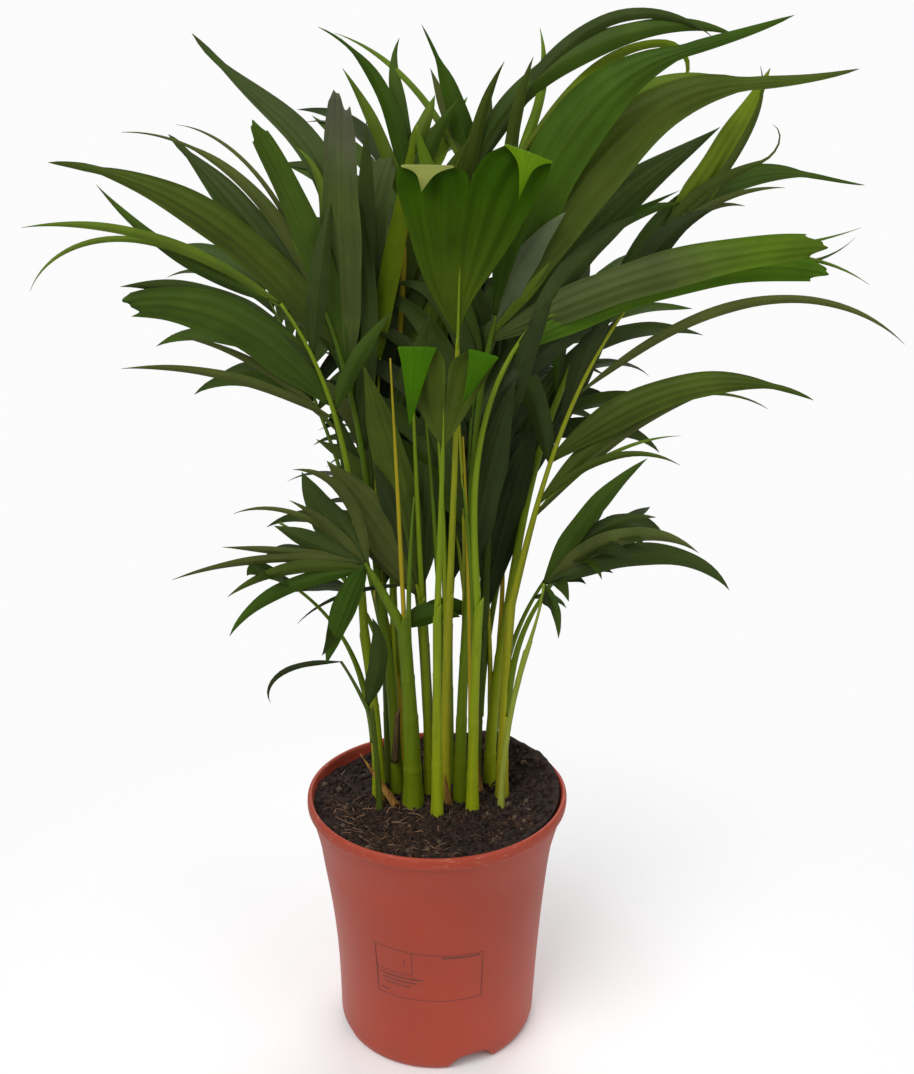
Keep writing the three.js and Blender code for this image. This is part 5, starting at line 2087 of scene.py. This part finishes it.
    def _fibres(self) -> None:
        """Lay root fibres and straws over the soil, most of them at the front left."""
        finishes = [
            EarthFinish("fibre_brown", (60, 44, 34), (88, 66, 48), 500).material(),
            EarthFinish("fibre_pale", (118, 92, 72), (160, 126, 102), 500).material(),
        ]
        bundle = Bundle()
        steps = self.FIBRE_STEPS
        for number in range(self.fibres):
            x, y, _ = self._spot(self.FIBRE_REACH)
            if number % 4 and (x > 15 or y > 10):
                x, y = -abs(x) * 0.9, -abs(y) * 0.9
            stride = self.chance.uniform(*self.FIBRE_LENGTHS) / (steps - 1)
            heading = self.chance.uniform(0, 2 * math.pi)
            curl = self.chance.uniform(-self.FIBRE_CURL, self.FIBRE_CURL)
            points = []
            for step in range(steps):
                arch = self.FIBRE_ARCH * math.sin(step / (steps - 1) * math.pi)
                points.append((x, y, self.surface(x, y) + self.FIBRE_LIFT + arch))
                heading += curl / steps
                x += stride * math.cos(heading)
                y += stride * math.sin(heading)
                if math.hypot(x, y) > self.FIBRE_EDGE:
                    heading += math.pi / 2
                    back = (self.FIBRE_EDGE - 1) / math.hypot(x, y)
                    x, y = x * back, y * back
            radii = self.chance.uniform(*self.FIBRE_RADII) * np.linspace(1.1, 0.6, steps)
            Tube(np.array(points), radii, 5).into(bundle, finishes[1 if number % 5 == 0 else 0])
        bundle.piece("soil_fibres", "soil")


@dataclass(frozen=True)
class Husks:
    """Dry scraps of old leaf sheath and cut stalks among the feet of the stems."""

    strips: tuple[tuple[Point, Point, float, float], ...] = (
        ((-25.6, -3, 158), (-49, -3, 197), 5.0, 12.0),
        ((-36, 3, 157), (-37.5, 1, 186), 4.6, -5.0),
        ((9, -2, 156), (6, -4, 182), 4.6, 4.0),
        ((30, 14, 157), (28, 10, 190), 4.2, -5.0),
        ((-2, 33, 157), (-4, 38, 188), 5.0, 5.0),
        ((40, 33, 157), (46, 38, 184), 4.4, 4.0),
        ((-28, 34, 157), (-34, 40, 190), 4.4, -4.0),
    )
    stubs: tuple[tuple[Point, Point, float], ...] = (
        ((-27, 6, 186), (-24.5, 3, 224), 2.3),
        ((24, 30, 157), (27, 36, 196), 2.2),
    )

    STRIP_STATIONS, STRIP_FACE, STRIP_POINT = 16, (0.2, -1.0, 0.1), 2.5
    STUB_STATIONS, STUB_BOW = 12, 2.0
    BOW_WAY, BOW_SHARE = (0.6, -0.8, 0.0), 0.25

    def build(self) -> None:
        """Build the strips and the stubs."""
        bundle = Bundle()
        papery = HuskFinish().material()
        stubby = HuskFinish("old_stub", (92, 74, 40), (44, 36, 24)).material()
        for start, end, width, bow in self.strips:
            points = self._bowed(start, end, bow, self.STRIP_STATIONS)
            along = np.linspace(0, 1, self.STRIP_STATIONS)
            halves = width / 2 * (1 - along**self.STRIP_POINT) + 0.2
            roll = np.linspace(0.2, 0.9, self.STRIP_STATIONS)
            Blade(points, halves, np.array(self.STRIP_FACE), roll, fold=-0.5).sheet().into(bundle, papery)
        for start, end, radius in self.stubs:
            points = self._bowed(start, end, self.STUB_BOW, self.STUB_STATIONS)
            radii = np.linspace(radius * 1.2, radius * 0.8, self.STUB_STATIONS)
            Tube(points, radii, 10, 0.06, 5, slant=1.4).into(bundle, stubby)
        bundle.piece("dry_husks", "stem")

    def _bowed(self, start: Sequence[float], end: Sequence[float], bow: float, count: int) -> np.ndarray:
        """Return a line that bows out sideways in the middle.

        Args:
            start: Where it starts.
            end: Where it ends.
            bow: Four times how far its middle stands out.
            count: How many points it has.

        Returns:
            Its points.
        """
        parts = np.linspace(0, 1, count)[:, None]
        line = np.array(start) * (1 - parts) + np.array(end) * parts
        return line + np.array(self.BOW_WAY) * (bow * self.BOW_SHARE * np.sin(parts * math.pi))


@dataclass(frozen=True)
class Lamp:
    """A soft light: where it hangs and how wide it is, in metres, and its power in watts."""

    name: str
    place: Point
    size: float
    power: float


@dataclass(frozen=True)
class Studio:
    """The pale floor, the soft lights and the camera, in metres."""

    lens: float = 40.2
    sensor: float = 36.0
    place: Point = (0.014, -0.697, 0.574)
    pitch: float = 18.3
    dome: float = 5.5
    white: float = 0.97
    glow: float = 0.47
    aim: Point = (0.0, 0.0, 0.35)
    lamps: tuple[Lamp, ...] = (
        Lamp("key_light", (-0.9, -1.3, 2.0), 1.5, 36.0),
        Lamp("fill_light", (1.5, -1.2, 1.0), 1.4, 10.0),
        Lamp("back_light", (0.3, 1.6, 1.7), 1.4, 20.0),
    )

    CLIP = 0.01
    DOME_ROWS, DOME_SIDES, DOME_LIFT = 16, 48, 88

    def build(self) -> None:
        """Build the floor, the backdrop, the lights and the camera."""
        self._floor()
        self._backdrop()
        self._world()
        for lamp in self.lamps:
            self._light(lamp)
        self._camera()

    def _floor(self) -> None:
        """Lay the floor."""
        mesh = bpy.data.meshes.new("floor")
        mesh.from_pydata([(-1, -1, 0), (1, -1, 0), (1, 1, 0), (-1, 1, 0)], [], [(0, 1, 2, 3)])
        mesh.materials.append(StageFinish().material())
        floor = bpy.data.objects.new("floor", mesh)
        bpy.context.scene.collection.objects.link(floor)

    def _backdrop(self) -> None:
        """Hang a white dome round the stage, which only fills the view and gives no light."""
        rows, sides = self.DOME_ROWS, self.DOME_SIDES
        corners = []
        for row in range(rows):
            lift = math.radians(-self.DOME_LIFT + 2 * self.DOME_LIFT * row / (rows - 1))
            radius, height = self.dome * math.cos(lift), self.dome * math.sin(lift)
            for side in range(sides):
                turn = side / sides * 2 * math.pi
                corners.append((radius * math.cos(turn), radius * math.sin(turn), height))
        mesh = bpy.data.meshes.new("backdrop")
        mesh.from_pydata(corners, [], ring_faces(rows, sides))
        finish = Board("backdrop_white").surface(
            Base_Color=(0.0, 0.0, 0.0),
            Emission_Color=(self.white,) * 3,
            Emission_Strength=1.0,
            Specular_IOR_Level=0.0,
        )
        mesh.materials.append(finish)
        dome = bpy.data.objects.new("backdrop", mesh)
        for ray in ("diffuse", "glossy", "transmission", "volume_scatter", "shadow"):
            setattr(dome, f"visible_{ray}", False)
        bpy.context.scene.collection.objects.link(dome)

    def _world(self) -> None:
        """Light everything softly from all round."""
        world = bpy.data.worlds.new("studio")
        world.use_nodes = True
        back = world.node_tree.nodes["Background"]
        back.inputs["Color"].default_value = (1.0, 1.0, 1.0, 1.0)
        back.inputs["Strength"].default_value = self.glow
        bpy.context.scene.world = world
        bpy.context.scene.view_settings.view_transform = "Standard"

    def _light(self, lamp: Lamp) -> None:
        """Hang one soft light that shines at the crown.

        Args:
            lamp: The light.
        """
        data = bpy.data.lights.new(lamp.name, "AREA")
        data.size = lamp.size
        data.energy = lamp.power
        light = bpy.data.objects.new(lamp.name, data)
        light.location = lamp.place
        aim = Vector(self.aim) - Vector(lamp.place)
        light.rotation_euler = aim.to_track_quat("-Z", "Y").to_euler()
        bpy.context.scene.collection.objects.link(light)

    def _camera(self) -> None:
        """Set the camera where the photograph was taken from."""
        data = bpy.data.cameras.new("camera")
        data.lens = self.lens
        data.sensor_width = self.sensor
        data.clip_start = self.CLIP
        camera = bpy.data.objects.new("camera", data)
        camera.location = self.place
        camera.rotation_euler = (math.radians(90 - self.pitch), 0.0, 0.0)
        bpy.context.scene.collection.objects.link(camera)
        bpy.context.scene.camera = camera


def main() -> None:
    """Load the frame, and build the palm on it."""
    logging.basicConfig(level=logging.INFO, format="%(name)s: %(message)s")
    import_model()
    Studio().build()
    pot = Pot()
    pot.build()
    Soil(pot).build()
    crown = Crown(PHOTOGRAPHED + FILLING)
    crown.build()
    tips = {tone: tone.material() for tone in TipTone}
    fronds = {frond.name: frond for frond in PHOTOGRAPHED}
    for leaf in BIFID_LEAVES:
        leaf.build(fronds[leaf.name], tips, crown.stem[StemTone.LIME])
    Stems(crown.stem).build()
    Husks().build()
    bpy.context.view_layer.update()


if __name__ == "__main__":
    main()
